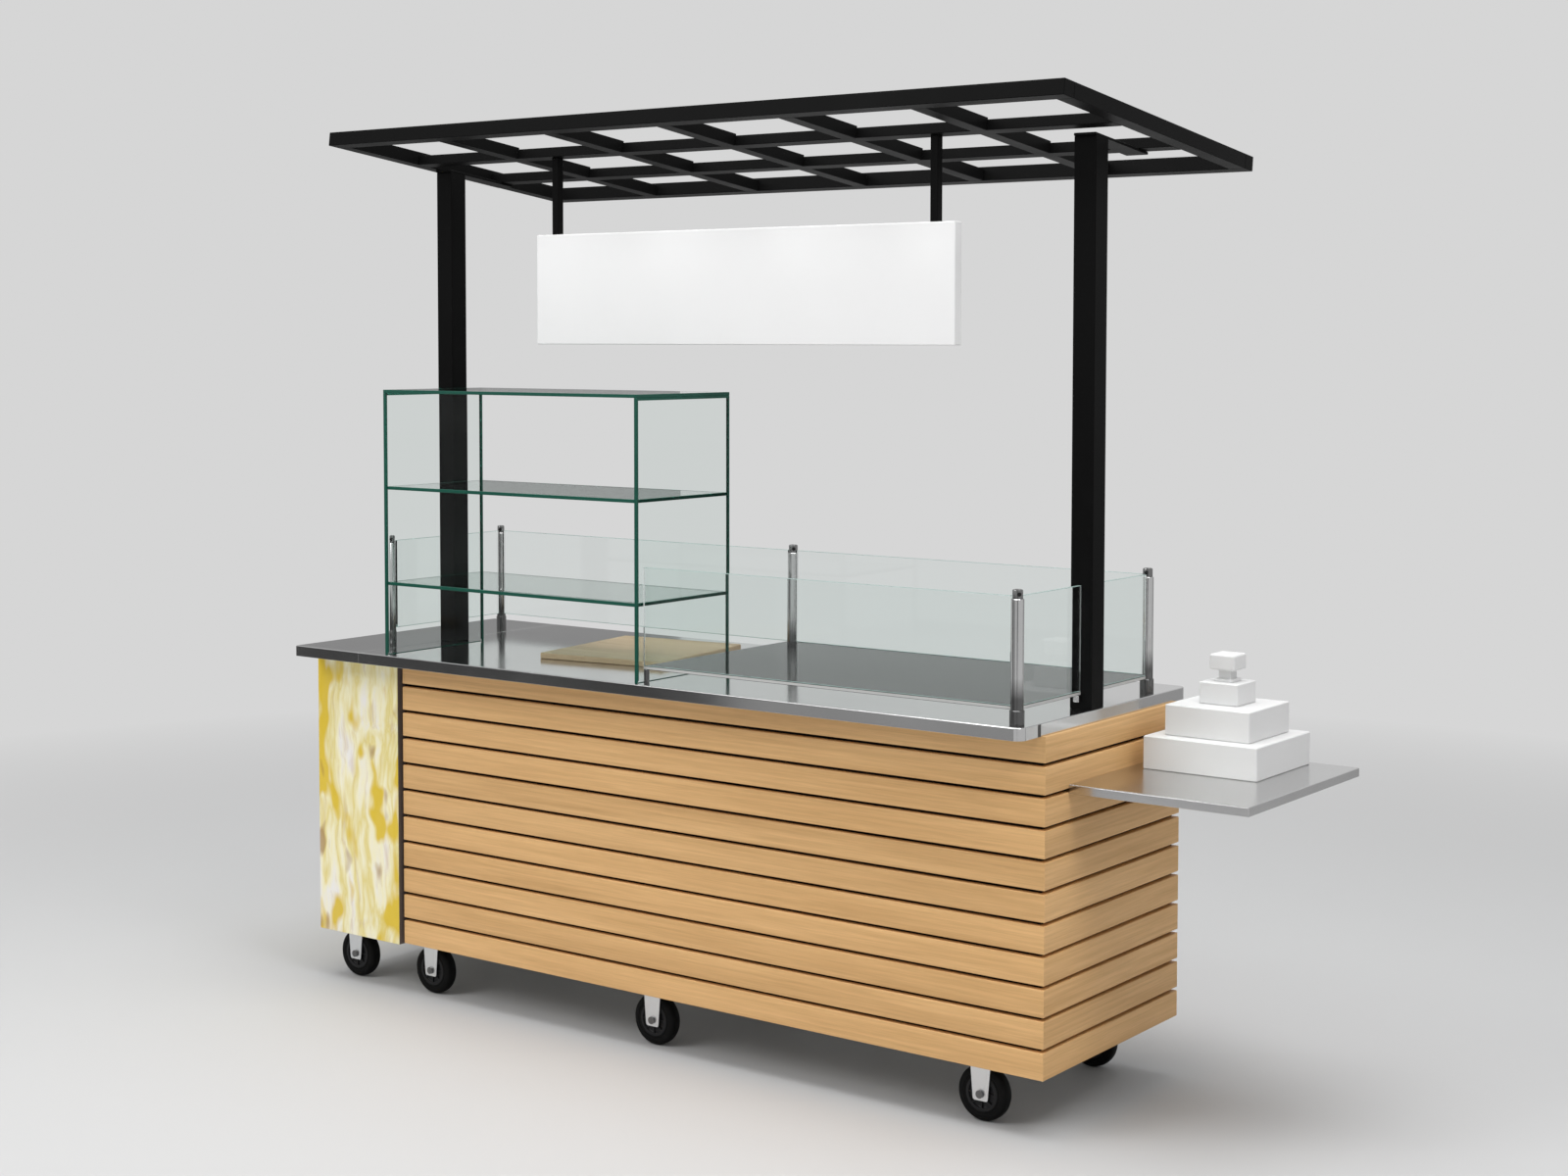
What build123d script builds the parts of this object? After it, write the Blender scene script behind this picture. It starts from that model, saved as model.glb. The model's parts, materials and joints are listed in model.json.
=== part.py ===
"""Crepe cart: a wheeled cabinet with a steel worktop, glass guards and an open grid canopy.

Millimetres. +X runs along the front to the right, +Y to the back, +Z up.
The origin is on the floor, under the middle of the overall length and depth.
"""
from build123d import *
from math import cos, radians
import os

# Worktop
WORKTOP_LENGTH = 2212
WORKTOP_DEPTH = 752
WORKTOP_HEIGHT = 900
WORKTOP_THICKNESS = 28
WORKTOP_JOINT_FROM_LEFT = 236
WORKTOP_JOINT_GAP = 0.6
WORKTOP_CORNER_RADIUS = 22
WORKTOP_EDGE_BREAK = 1.5

# Cabinet boards
FRONT_OVERHANG = 85
REAR_OVERHANG = 55
CLADDING_PROUD = 10
CLADDING_DROP = 24
BAY_WIDTH = 299
BAY_GAP = 10
BAY_PANEL_PROUD = 9
BAY_PANEL_DROP = 28
BOARD = 18
BACKING = 12
FLOOR_THICKNESS = 22
RAIL_DEPTH = 40
RAIL_HEIGHT = 40
INNER_SHELF_HEIGHT = 480

# Wooden slats
SLAT_PITCH = 68
SLAT_HEIGHT = 61
SLAT_LEAST = 20
SLAT_THICKNESS = 18
SLAT_EDGE = 2

# Sliding rear doors
DOOR_THICKNESS = 14
DOOR_PLAY = 0.5
DOOR_OVERLAP = 40
DOOR_LIFT = 5
FENCE = 2
FENCE_HEIGHT = 10
TRACK_BASE = 3
PULL_DIAMETER = 50
PULL_DEPTH = 8
PULL_INSET = 70

# Loose serving board
SERVING_LENGTH = 400
SERVING_WIDTH = 362
SERVING_THICKNESS = 15
SERVING_FROM_CASE_END = 324
SERVING_BEHIND_CASE = 52
SERVING_TURN = 7.5
SERVING_CORNER = 8

# Glass display case
GLASS = 8
CASE_FROM_POST = 35
CASE_LENGTH = 841
CASE_FRONT_INSET = 13
CASE_DEPTH = 353
CASE_HEIGHT = 677
CASE_SHELVES = (179, 423)
CASE_SHELF_INSET = 5

# Glass guard
POST_DIAMETER = 28
GUARD_HEIGHT = 286
CAP_HEIGHT = 12
CAP_DIAMETER = 31
FOOT_DIAMETER = 32
PANE_LIFT = 40
PANE_BELOW_TOP = 14
PANE_GAP = 0.4
GUARD_RIGHT_INSET = 31
GUARD_FRONT_INSET = 36
GUARD_REAR_INSET = 141
GUARD_LEFT_INSET = 161
GUARD_LEFT_PANE = 418
GUARD_MIDDLE_FROM_CASE = 14
STUB_DIAMETER = 13
STUB_FROM_CASE = 10
CLIP_SIZE = 14

# Dark plate inside the guard, held above the worktop on the feet of the posts
GRIDDLE_PLATE = 8
GRIDDLE_CLEARANCE = 0.3
GRIDDLE_EDGE = 1

# Canopy posts
CANOPY_POST = 54
CANOPY_LEFT_INSET = 259
CANOPY_RIGHT_INSET = 27
CANOPY_POST_Y = -51
CANOPY_POST_WALL = 3
HEAD_PLATE = 6

# Roof grid
ROOF_PAST_LEFT_POST = 53
ROOF_PAST_RIGHT_POST = 151
ROOF_DEPTH = 864
ROOF_SLOPE = 6.8
BEAM_WIDTH = 50
BEAM_HEIGHT = 34
ROOF_COLUMNS = 6
ROOF_ROWS = 3

# Hanging sign
SIGN_LENGTH = 1246
SIGN_HEIGHT = 274
SIGN_THICKNESS = 28
SIGN_FROM_LEFT_POST = 396
SIGN_ABOVE_CASE = 116
SIGN_EDGE = 1.5
HANGER = 20
HANGER_INSET = 59
HANGER_DROP = 209

# Side shelf and the stepped display blocks
SHELF_REACH = 418
SHELF_DEPTH = 562
SHELF_REAR_INSET = 6
SHELF_THICKNESS = 20
SHELF_BELOW_WORKTOP = 143
ARM_WIDTH = 40
ARM_HEIGHT = 16
ARM_REACH = 300
ARM_SPACING = 300
ARM_CLEARANCE = 0.3
TIER_FROM_CLADDING = 38
TIER_FROM_SHELF_REAR = 26
TIER_SIZES = ((274, 74), (204, 69), (94, 49))
TIER_EDGE = 2
TOPPER_WIDTH = 62
TOPPER_HEIGHT = 36
TOPPER_EDGE = 6
TOPPER_FOOT = 46
TOPPER_FOOT_HEIGHT = 6
TOPPER_NECK = 30
TOPPER_NECK_HEIGHT = 20

# Casters
CASTERS_FROM_LEFT = (90, 358, 1108)
CASTER_FROM_RIGHT = 170
SWIVEL_COLUMNS = (0, 3)
CASTER_INSET = 66
WHEEL_DIAMETER = 125
WHEEL_WIDTH = 32
TYRE_EDGE = 6
HUB_DIAMETER = 80
HUB_RECESS = 5
HUB_RIM = 8
HUB_BOSS_DIAMETER = 30
TYRE_SEAT = 0.1
AXLE_DIAMETER = 10
AXLE_FIT = 0.05
AXLE_HEAD_DIAMETER = 18
AXLE_HEAD = 5
LEG_THICKNESS = 3
LEG_TOP_WIDTH = 54
LEG_BOTTOM_WIDTH = 48
LEG_BELOW_AXLE = 15
LEG_CORNER = 6
WHEEL_SIDE_GAP = 1.5
WHEEL_TOP_GAP = 17.7
TRAIL = 14
PLATE_LENGTH = 100
PLATE_WIDTH = 80
PLATE_THICKNESS = 3
PLATE_BOLT_INSET = 12
PLATE_BOLT_DIAMETER = 13
PLATE_BOLT_HEAD = 5
RACE_DIAMETER = 56
RACE_HEIGHT = 7
CROWN_HEIGHT = 7
SWIVEL_GAP = 0.3
KINGPIN_DIAMETER = 12
KINGPIN_HEAD_DIAMETER = 20
KINGPIN_HEAD = 4

# Places worked out from the sizes above
overall_length = WORKTOP_LENGTH + CLADDING_PROUD + SHELF_REACH
cart_left = -overall_length / 2
shelf_right = overall_length / 2
top_right = cart_left + WORKTOP_LENGTH
top_front = -WORKTOP_DEPTH / 2
top_rear = WORKTOP_DEPTH / 2
top_z = WORKTOP_HEIGHT
under_z = WORKTOP_HEIGHT - WORKTOP_THICKNESS

wheel_radius = WHEEL_DIAMETER / 2
crown_bottom = WHEEL_DIAMETER + WHEEL_TOP_GAP
crown_top = crown_bottom + CROWN_HEIGHT
race_bottom = crown_top + SWIVEL_GAP
plate_bottom = race_bottom + RACE_HEIGHT
floor_bottom = plate_bottom + PLATE_THICKNESS
leg_inside = WHEEL_WIDTH / 2 + WHEEL_SIDE_GAP
leg_outside = leg_inside + LEG_THICKNESS

clad_right = top_right + CLADDING_PROUD
clad_front = top_front + FRONT_OVERHANG
cabinet_rear = top_rear - REAR_OVERHANG
slat_back = clad_front + SLAT_THICKNESS
board_back = slat_back + BACKING
end_board_right = clad_right - SLAT_THICKNESS
end_board_left = end_board_right - BOARD
bay_right = cart_left + BAY_WIDTH
slat_left = bay_right + BAY_GAP
inner_left = cart_left + BOARD
divider_right = bay_right + BOARD
floor_top = floor_bottom + FLOOR_THICKNESS
cladding_bottom = floor_bottom - CLADDING_DROP
bay_panel_bottom = floor_bottom - BAY_PANEL_DROP
rail_bottom = under_z - RAIL_HEIGHT

track_depth = 2 * (DOOR_THICKNESS + 2 * DOOR_PLAY) + 3 * FENCE
track_front = cabinet_rear - FENCE - track_depth
groove = DOOR_THICKNESS + 2 * DOOR_PLAY
door_span = end_board_left - divider_right
door_width = (door_span + DOOR_OVERLAP) / 2 - DOOR_PLAY
door_bottom = floor_top + TRACK_BASE + DOOR_PLAY
door_top = rail_bottom - TRACK_BASE - DOOR_LIFT
centre_x = (divider_right + end_board_left) / 2

canopy_left_x = cart_left + CANOPY_LEFT_INSET
canopy_right_x = top_right - CANOPY_RIGHT_INSET
post_front = CANOPY_POST_Y - CANOPY_POST / 2
post_rear = CANOPY_POST_Y + CANOPY_POST / 2

case_left = canopy_left_x + CANOPY_POST / 2 + CASE_FROM_POST
case_right = case_left + CASE_LENGTH
case_front = top_front + CASE_FRONT_INSET
case_rear = case_front + CASE_DEPTH
case_top = top_z + CASE_HEIGHT

guard_right = top_right - GUARD_RIGHT_INSET
guard_front = top_front + GUARD_FRONT_INSET
guard_rear = top_rear - GUARD_REAR_INSET
guard_left = cart_left + GUARD_LEFT_INSET
guard_left_front = guard_rear - GUARD_LEFT_PANE
post_edge = POST_DIAMETER / 2 + PANE_GAP
pane_bottom = top_z + PANE_LIFT
pane_top = top_z + GUARD_HEIGHT - PANE_BELOW_TOP
guard_middle_x = case_right + GUARD_MIDDLE_FROM_CASE
stub_x = case_right + STUB_FROM_CASE

griddle_left = stub_x - STUB_DIAMETER / 2
griddle_right = guard_right + GLASS / 2
griddle_front = guard_front - GLASS / 2
griddle_rear = guard_rear + GLASS / 2
griddle_bottom = pane_bottom - GRIDDLE_PLATE

sign_left = canopy_left_x + SIGN_FROM_LEFT_POST
sign_bottom = case_top + SIGN_ABOVE_CASE
sign_top = sign_bottom + SIGN_HEIGHT
roof_middle_top = sign_top + HANGER_DROP

roof_left = canopy_left_x - ROOF_PAST_LEFT_POST
roof_right = canopy_right_x + ROOF_PAST_RIGHT_POST
roof_length = roof_right - roof_left
roof_centre_x = (roof_left + roof_right) / 2
roof_pitch_x = (roof_length - BEAM_WIDTH) / ROOF_COLUMNS
roof_length_on_slope = ROOF_DEPTH / cos(radians(ROOF_SLOPE))
roof_pitch_y = (roof_length_on_slope - BEAM_WIDTH) / ROOF_ROWS
roof_mid_z = roof_middle_top - BEAM_HEIGHT / 2
roof_plane = Plane(origin=(roof_centre_x, 0, roof_mid_z)).rotated((-ROOF_SLOPE, 0, 0))
under_roof = roof_plane.offset(-BEAM_HEIGHT / 2)
under_plate = roof_plane.offset(-BEAM_HEIGHT / 2 - HEAD_PLATE)
long_bar_y = roof_pitch_y / 2
sign_y = -long_bar_y * cos(radians(ROOF_SLOPE))

shelf_rear = top_rear - SHELF_REAR_INSET
shelf_front = shelf_rear - SHELF_DEPTH
shelf_top = WORKTOP_HEIGHT - SHELF_BELOW_WORKTOP
tier_x = clad_right + TIER_FROM_CLADDING + TIER_SIZES[0][0] / 2
tier_y = shelf_rear - TIER_FROM_SHELF_REAR - TIER_SIZES[0][0] / 2

caster_front = clad_front + CASTER_INSET
caster_rear = cabinet_rear - CASTER_INSET
caster_x = [cart_left + x for x in CASTERS_FROM_LEFT] + [clad_right - CASTER_FROM_RIGHT]

os.makedirs("parts", exist_ok=True)


def keep(builder, name):
    """Label a finished piece and write its STEP file."""
    builder.part.label = name
    export_step(builder.part, f"parts/{name}.step")


def block(x0, x1, y0, y1, z0, z1, mode=Mode.ADD):
    """A box between two corners, added to or cut from the open part."""
    with Locations(((x0 + x1) / 2, (y0 + y1) / 2, (z0 + z1) / 2)):
        Box(x1 - x0, y1 - y0, z1 - z0, mode=mode)


def rod(x, y, z0, z1, diameter, mode=Mode.ADD):
    """An upright cylinder between two heights."""
    with Locations((x, y, (z0 + z1) / 2)):
        Cylinder(diameter / 2, z1 - z0, mode=mode)


def cross_rod(x, z, y0, y1, diameter, mode=Mode.ADD):
    """A cylinder that lies along Y."""
    with Locations(Location((x, (y0 + y1) / 2, z), (90, 0, 0))):
        Cylinder(diameter / 2, y1 - y0, mode=mode)


# Worktop, in two lengths that meet at a butt joint
joint_x = cart_left + WORKTOP_JOINT_FROM_LEFT
with BuildPart() as worktop_main:
    block(joint_x + WORKTOP_JOINT_GAP, top_right, top_front, top_rear, under_z, top_z)
    corners = worktop_main.edges().filter_by(Axis.Z).group_by(Axis.X)[-1]
    fillet(corners, WORKTOP_CORNER_RADIUS)
    chamfer(worktop_main.faces().sort_by(Axis.Z)[-1].edges(), WORKTOP_EDGE_BREAK)
keep(worktop_main, "worktop_main")

with BuildPart() as worktop_left:
    block(cart_left, joint_x, top_front, top_rear, under_z, top_z)
    chamfer(worktop_left.faces().sort_by(Axis.Z)[-1].edges(), WORKTOP_EDGE_BREAK)
keep(worktop_left, "worktop_left")

# Cabinet carcass
with BuildPart() as cabinet_floor:
    block(inner_left, end_board_left, board_back, cabinet_rear, floor_bottom, floor_top)
keep(cabinet_floor, "cabinet_floor")

with BuildPart() as front_board:
    block(inner_left, end_board_left, slat_back, board_back, floor_bottom, under_z)
keep(front_board, "front_board")

arm_y = [shelf_front + SHELF_DEPTH / 2 + s * ARM_SPACING / 2 for s in (-1, 1)]
arm_top = shelf_top - SHELF_THICKNESS
arm_bottom = arm_top - ARM_HEIGHT


def arm_passages():
    """Cut the two passages of the shelf arms from the open part."""
    for y in arm_y:
        half = ARM_WIDTH / 2 + ARM_CLEARANCE
        low = arm_bottom - ARM_CLEARANCE
        high = arm_top + ARM_CLEARANCE
        block(end_board_left, clad_right, y - half, y + half, low, high, Mode.SUBTRACT)


with BuildPart() as right_end_board:
    block(end_board_left, end_board_right, slat_back, cabinet_rear, floor_bottom, under_z)
    arm_passages()
keep(right_end_board, "right_end_board")

with BuildPart() as bay_divider:
    block(bay_right, divider_right, board_back, cabinet_rear, floor_top, rail_bottom)
keep(bay_divider, "bay_divider")

with BuildPart() as centre_divider:
    left = centre_x - BOARD / 2
    block(left, left + BOARD, board_back, track_front, floor_top, rail_bottom)
keep(centre_divider, "centre_divider")

with BuildPart() as top_rails:
    rear_rail_front = cabinet_rear - RAIL_DEPTH
    block(inner_left, end_board_left, board_back, board_back + RAIL_DEPTH, rail_bottom, under_z)
    block(inner_left, end_board_left, rear_rail_front, cabinet_rear, rail_bottom, under_z)
keep(top_rails, "top_rails")

with BuildPart() as inner_shelves:
    low = INNER_SHELF_HEIGHT
    rear = track_front - BOARD
    block(divider_right, centre_x - BOARD / 2, board_back, rear, low, low + BOARD)
    block(centre_x + BOARD / 2, end_board_left, board_back, rear, low, low + BOARD)
keep(inner_shelves, "inner_shelves")

# Left bay, with its printed front and end panels
with BuildPart() as bay_front_panel:
    front = clad_front - BAY_PANEL_PROUD
    block(cart_left, bay_right, front, slat_back, bay_panel_bottom, under_z)
keep(bay_front_panel, "bay_front_panel")

with BuildPart() as bay_end_panel:
    block(cart_left, inner_left, slat_back, cabinet_rear, bay_panel_bottom, under_z)
keep(bay_end_panel, "bay_end_panel")

with BuildPart() as bay_back_panel:
    block(inner_left, bay_right, cabinet_rear - BOARD, cabinet_rear, floor_top, rail_bottom)
keep(bay_back_panel, "bay_back_panel")


def slat_levels():
    """Bottom and top height of each slat from the lowest up, the last one cut to fit."""
    low = cladding_bottom
    while under_z - low >= SLAT_LEAST:
        yield low, min(low + SLAT_HEIGHT, under_z)
        low += SLAT_PITCH


# Slats along the front, mitred at the right corner
with BuildPart() as front_slats:
    for low, high in slat_levels():
        with BuildSketch(Plane.XY.offset(low)):
            with BuildLine():
                Polyline(
                    (slat_left, clad_front),
                    (clad_right, clad_front),
                    (end_board_right, slat_back),
                    (slat_left, slat_back),
                    close=True,
                )
            make_face()
        extrude(amount=high - low)
    long_edges = front_slats.edges().filter_by(Axis.X).group_by(Axis.Y)[0]
    chamfer(long_edges, SLAT_EDGE)
keep(front_slats, "front_slats")

# Slats across the right end, mitred to meet the front ones
with BuildPart() as end_slats:
    for low, high in slat_levels():
        with BuildSketch(Plane.XY.offset(low)):
            with BuildLine():
                Polyline(
                    (clad_right, clad_front),
                    (clad_right, cabinet_rear),
                    (end_board_right, cabinet_rear),
                    (end_board_right, slat_back),
                    close=True,
                )
            make_face()
        extrude(amount=high - low)
    long_edges = end_slats.edges().filter_by(Axis.Y).group_by(Axis.X)[-1]
    chamfer(long_edges, SLAT_EDGE)
    arm_passages()
keep(end_slats, "end_slats")

# Rear doors run in two grooves between an upper and a lower track
with BuildPart() as door_tracks:
    for base, fence in ((floor_top, 1), (rail_bottom, -1)):
        z0, z1 = sorted((base, base + fence * TRACK_BASE))
        block(divider_right, end_board_left, track_front, track_front + track_depth, z0, z1)
        for k in range(3):
            y0 = track_front + k * (groove + FENCE)
            f0, f1 = sorted((base, base + fence * (TRACK_BASE + FENCE_HEIGHT)))
            block(divider_right, end_board_left, y0, y0 + FENCE, f0, f1)
keep(door_tracks, "door_tracks")


def door(x0, y0, pull_x):
    """A sliding door with a round finger pull sunk in its rear face."""
    block(x0, x0 + door_width, y0, y0 + DOOR_THICKNESS, door_bottom, door_top)
    y1 = y0 + DOOR_THICKNESS
    pull_z = (door_bottom + door_top) / 2
    cross_rod(pull_x, pull_z, y1 - PULL_DEPTH, y1, PULL_DIAMETER, Mode.SUBTRACT)


with BuildPart() as rear_door_left:
    x0 = divider_right + DOOR_PLAY
    door(x0, track_front + FENCE + DOOR_PLAY, x0 + PULL_INSET)
keep(rear_door_left, "rear_door_left")

with BuildPart() as rear_door_right:
    x1 = end_board_left - DOOR_PLAY
    door(x1 - door_width, track_front + 2 * FENCE + groove + DOOR_PLAY, x1 - PULL_INSET)
keep(rear_door_right, "rear_door_right")

# Loose serving board, lying a little turned on the worktop
serving_x = case_right - SERVING_FROM_CASE_END
serving_y = case_rear + SERVING_BEHIND_CASE
board_plane = Plane(origin=(serving_x, serving_y, top_z)).rotated((0, 0, SERVING_TURN))
with BuildPart() as serving_board:
    with BuildSketch(board_plane):
        RectangleRounded(SERVING_WIDTH, SERVING_LENGTH, SERVING_CORNER)
    extrude(amount=SERVING_THICKNESS)
keep(serving_board, "serving_board")

# Glass case: two end panes, a top pane and two shelves, open at front and back
with BuildPart() as case_end_panes:
    for x in (case_left, case_right - GLASS):
        block(x, x + GLASS, case_front, case_rear, top_z, case_top - GLASS)
keep(case_end_panes, "case_end_panes")

with BuildPart() as case_top_pane:
    block(case_left, case_right, case_front, case_rear, case_top - GLASS, case_top)
keep(case_top_pane, "case_top_pane")

with BuildPart() as case_shelves:
    front = case_front + CASE_SHELF_INSET
    rear = case_rear - CASE_SHELF_INSET
    for height in CASE_SHELVES:
        z = top_z + height
        block(case_left + GLASS, case_right - GLASS, front, rear, z, z + GLASS)
keep(case_shelves, "case_shelves")

# Guard posts with their feet and caps, and the short stub beside the case
guard_points = (
    (guard_right, guard_front),
    (guard_right, guard_rear),
    (guard_middle_x, guard_rear),
    (guard_left, guard_rear),
    (guard_left, guard_left_front),
)
with BuildPart() as guard_posts:
    for x, y in guard_points:
        rod(x, y, top_z, top_z + GUARD_HEIGHT - CAP_HEIGHT, POST_DIAMETER)
        rod(x, y, top_z, griddle_bottom, FOOT_DIAMETER)
    rod(stub_x, guard_front, top_z, griddle_bottom, STUB_DIAMETER)
keep(guard_posts, "guard_posts")

with BuildPart() as guard_caps:
    for x, y in guard_points:
        rod(x, y, top_z + GUARD_HEIGHT - CAP_HEIGHT, top_z + GUARD_HEIGHT, CAP_DIAMETER)
keep(guard_caps, "guard_caps")

# Guard panes are held between the posts, a little above the worktop
half_glass = GLASS / 2
with BuildPart() as guard_front_pane:
    left = stub_x - STUB_DIAMETER / 2
    right = guard_right - post_edge
    front = guard_front - half_glass
    block(left, right, front, front + GLASS, pane_bottom, pane_top)
keep(guard_front_pane, "guard_front_pane")

with BuildPart() as guard_end_panes:
    left = guard_right - half_glass
    front = guard_front + post_edge
    rear = guard_rear - post_edge
    block(left, left + GLASS, front, post_front - PANE_GAP, pane_bottom, pane_top)
    block(left, left + GLASS, post_rear + PANE_GAP, rear, pane_bottom, pane_top)
keep(guard_end_panes, "guard_end_panes")

with BuildPart() as guard_rear_panes:
    front = guard_rear - half_glass
    for x0, x1 in ((guard_left, guard_middle_x), (guard_middle_x, guard_right)):
        block(x0 + post_edge, x1 - post_edge, front, front + GLASS, pane_bottom, pane_top)
keep(guard_rear_panes, "guard_rear_panes")

with BuildPart() as guard_left_pane:
    left = guard_left - half_glass
    front = guard_left_front + post_edge
    rear = guard_rear - post_edge
    block(left, left + GLASS, front, rear, pane_bottom, pane_top)
keep(guard_left_pane, "guard_left_pane")

# Small ledges on the right canopy post, under the dark plate
with BuildPart() as pane_clips:
    left = guard_right - CLIP_SIZE / 2
    low = griddle_bottom - CLIP_SIZE
    for y0, y1 in ((post_front - CLIP_SIZE, post_front), (post_rear, post_rear + CLIP_SIZE)):
        block(left, left + CLIP_SIZE, y0, y1, low, griddle_bottom)
keep(pane_clips, "pane_clips")

# Dark plate, cut out round the guard posts and the right canopy post
with BuildPart() as griddle_plate:
    block(griddle_left, griddle_right, griddle_front, griddle_rear, griddle_bottom, pane_bottom)
    chamfer(griddle_plate.edges(), GRIDDLE_EDGE)
    for x, y in guard_points[:3]:
        round_cut = POST_DIAMETER + 2 * GRIDDLE_CLEARANCE
        rod(x, y, griddle_bottom, pane_bottom, round_cut, Mode.SUBTRACT)
    notch_left = canopy_right_x - CANOPY_POST / 2 - GRIDDLE_CLEARANCE
    y0 = post_front - GRIDDLE_CLEARANCE
    y1 = post_rear + GRIDDLE_CLEARANCE
    block(notch_left, griddle_right, y0, y1, griddle_bottom, pane_bottom, Mode.SUBTRACT)
keep(griddle_plate, "griddle_plate")


def canopy_post(x):
    """A square tube from the worktop up to the sloping head plate."""
    wide = CANOPY_POST / 2
    bore = wide - CANOPY_POST_WALL
    reach = roof_middle_top
    block(x - wide, x + wide, post_front, post_rear, top_z, reach)
    y0 = CANOPY_POST_Y - bore
    y1 = CANOPY_POST_Y + bore
    block(x - bore, x + bore, y0, y1, top_z, reach, Mode.SUBTRACT)
    split(bisect_by=under_plate, keep=Keep.BOTTOM)


with BuildPart() as canopy_post_left:
    canopy_post(canopy_left_x)
keep(canopy_post_left, "canopy_post_left")

with BuildPart() as canopy_post_right:
    canopy_post(canopy_right_x)
keep(canopy_post_right, "canopy_post_right")

# Head plates join each post to the rear long bar
with BuildPart() as canopy_head_plates:
    plate_front = post_front / cos(radians(ROOF_SLOPE))
    plate_rear = long_bar_y + BEAM_WIDTH / 2
    for x in (canopy_left_x, canopy_right_x):
        with BuildSketch(under_plate):
            with Locations((x - roof_centre_x, (plate_front + plate_rear) / 2)):
                Rectangle(CANOPY_POST, plate_rear - plate_front)
        extrude(amount=HEAD_PLATE)
keep(canopy_head_plates, "canopy_head_plates")


def roof_bars(centres, length, width):
    """Bars of the roof grid, each centred on a point of the sloping plane."""
    with BuildSketch(under_roof) as outline:
        with Locations(*centres):
            Rectangle(length, width)
    extrude(outline.sketch, amount=BEAM_HEIGHT)


# Roof grid: two long beams, two end beams, two long bars and the cross bars
edge_y = (roof_length_on_slope - BEAM_WIDTH) / 2
edge_x = (roof_length - BEAM_WIDTH) / 2
inner_depth = roof_length_on_slope - 2 * BEAM_WIDTH
with BuildPart() as roof_front_beam:
    roof_bars([(0, -edge_y)], roof_length, BEAM_WIDTH)
keep(roof_front_beam, "roof_front_beam")

with BuildPart() as roof_rear_beam:
    roof_bars([(0, edge_y)], roof_length, BEAM_WIDTH)
keep(roof_rear_beam, "roof_rear_beam")

with BuildPart() as roof_end_beams:
    roof_bars([(-edge_x, 0), (edge_x, 0)], BEAM_WIDTH, inner_depth)
keep(roof_end_beams, "roof_end_beams")

with BuildPart() as roof_long_bars:
    roof_bars([(0, -long_bar_y), (0, long_bar_y)], roof_length - 2 * BEAM_WIDTH, BEAM_WIDTH)
keep(roof_long_bars, "roof_long_bars")

with BuildPart() as roof_cross_bars:
    cross_points = [
        ((column - ROOF_COLUMNS / 2) * roof_pitch_x, (row - (ROOF_ROWS - 1) / 2) * roof_pitch_y)
        for column in range(1, ROOF_COLUMNS)
        for row in range(ROOF_ROWS)
    ]
    roof_bars(cross_points, BEAM_WIDTH, roof_pitch_y - BEAM_WIDTH)
keep(roof_cross_bars, "roof_cross_bars")

# Sign board and its two hangers
with BuildPart() as sign_board:
    front = sign_y - SIGN_THICKNESS / 2
    right = sign_left + SIGN_LENGTH
    block(sign_left, right, front, front + SIGN_THICKNESS, sign_bottom, sign_top)
    chamfer(sign_board.edges(), SIGN_EDGE)
keep(sign_board, "sign_board")

with BuildPart() as sign_hangers:
    half = HANGER / 2
    for x in (sign_left + HANGER_INSET, sign_left + SIGN_LENGTH - HANGER_INSET):
        block(x - half, x + half, sign_y - half, sign_y + half, sign_top, roof_middle_top)
    split(bisect_by=under_roof, keep=Keep.BOTTOM)
keep(sign_hangers, "sign_hangers")

# Side shelf on two arms that pass through the right end board
with BuildPart() as side_shelf:
    block(clad_right, shelf_right, shelf_front, shelf_rear, arm_top, shelf_top)
    chamfer(side_shelf.faces().sort_by(Axis.Z)[-1].edges(), WORKTOP_EDGE_BREAK)
keep(side_shelf, "side_shelf")

with BuildPart() as shelf_arms:
    for y in arm_y:
        half = ARM_WIDTH / 2
        block(end_board_left, clad_right + ARM_REACH, y - half, y + half, arm_bottom, arm_top)
keep(shelf_arms, "shelf_arms")


def tier(size, low, height):
    """One square display block, centred over the others."""
    half = size / 2
    block(tier_x - half, tier_x + half, tier_y - half, tier_y + half, low, low + height)


# Stepped display blocks with a small box on top
tier_low = shelf_top
for name, (size, height) in zip(("tier_base", "tier_middle", "tier_upper"), TIER_SIZES):
    with BuildPart() as display_tier:
        tier(size, tier_low, height)
        chamfer(display_tier.edges(), TIER_EDGE)
    keep(display_tier, name)
    tier_low += height

with BuildPart() as topper_box:
    neck_low = tier_low + TOPPER_FOOT_HEIGHT
    box_low = neck_low + TOPPER_NECK_HEIGHT
    tier(TOPPER_WIDTH, box_low, TOPPER_HEIGHT)
    fillet(topper_box.edges(), TOPPER_EDGE)
    tier(TOPPER_NECK, neck_low, TOPPER_NECK_HEIGHT + TOPPER_HEIGHT / 2)
    tier(TOPPER_FOOT, tier_low, TOPPER_FOOT_HEIGHT)
keep(topper_box, "topper_box")

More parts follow.
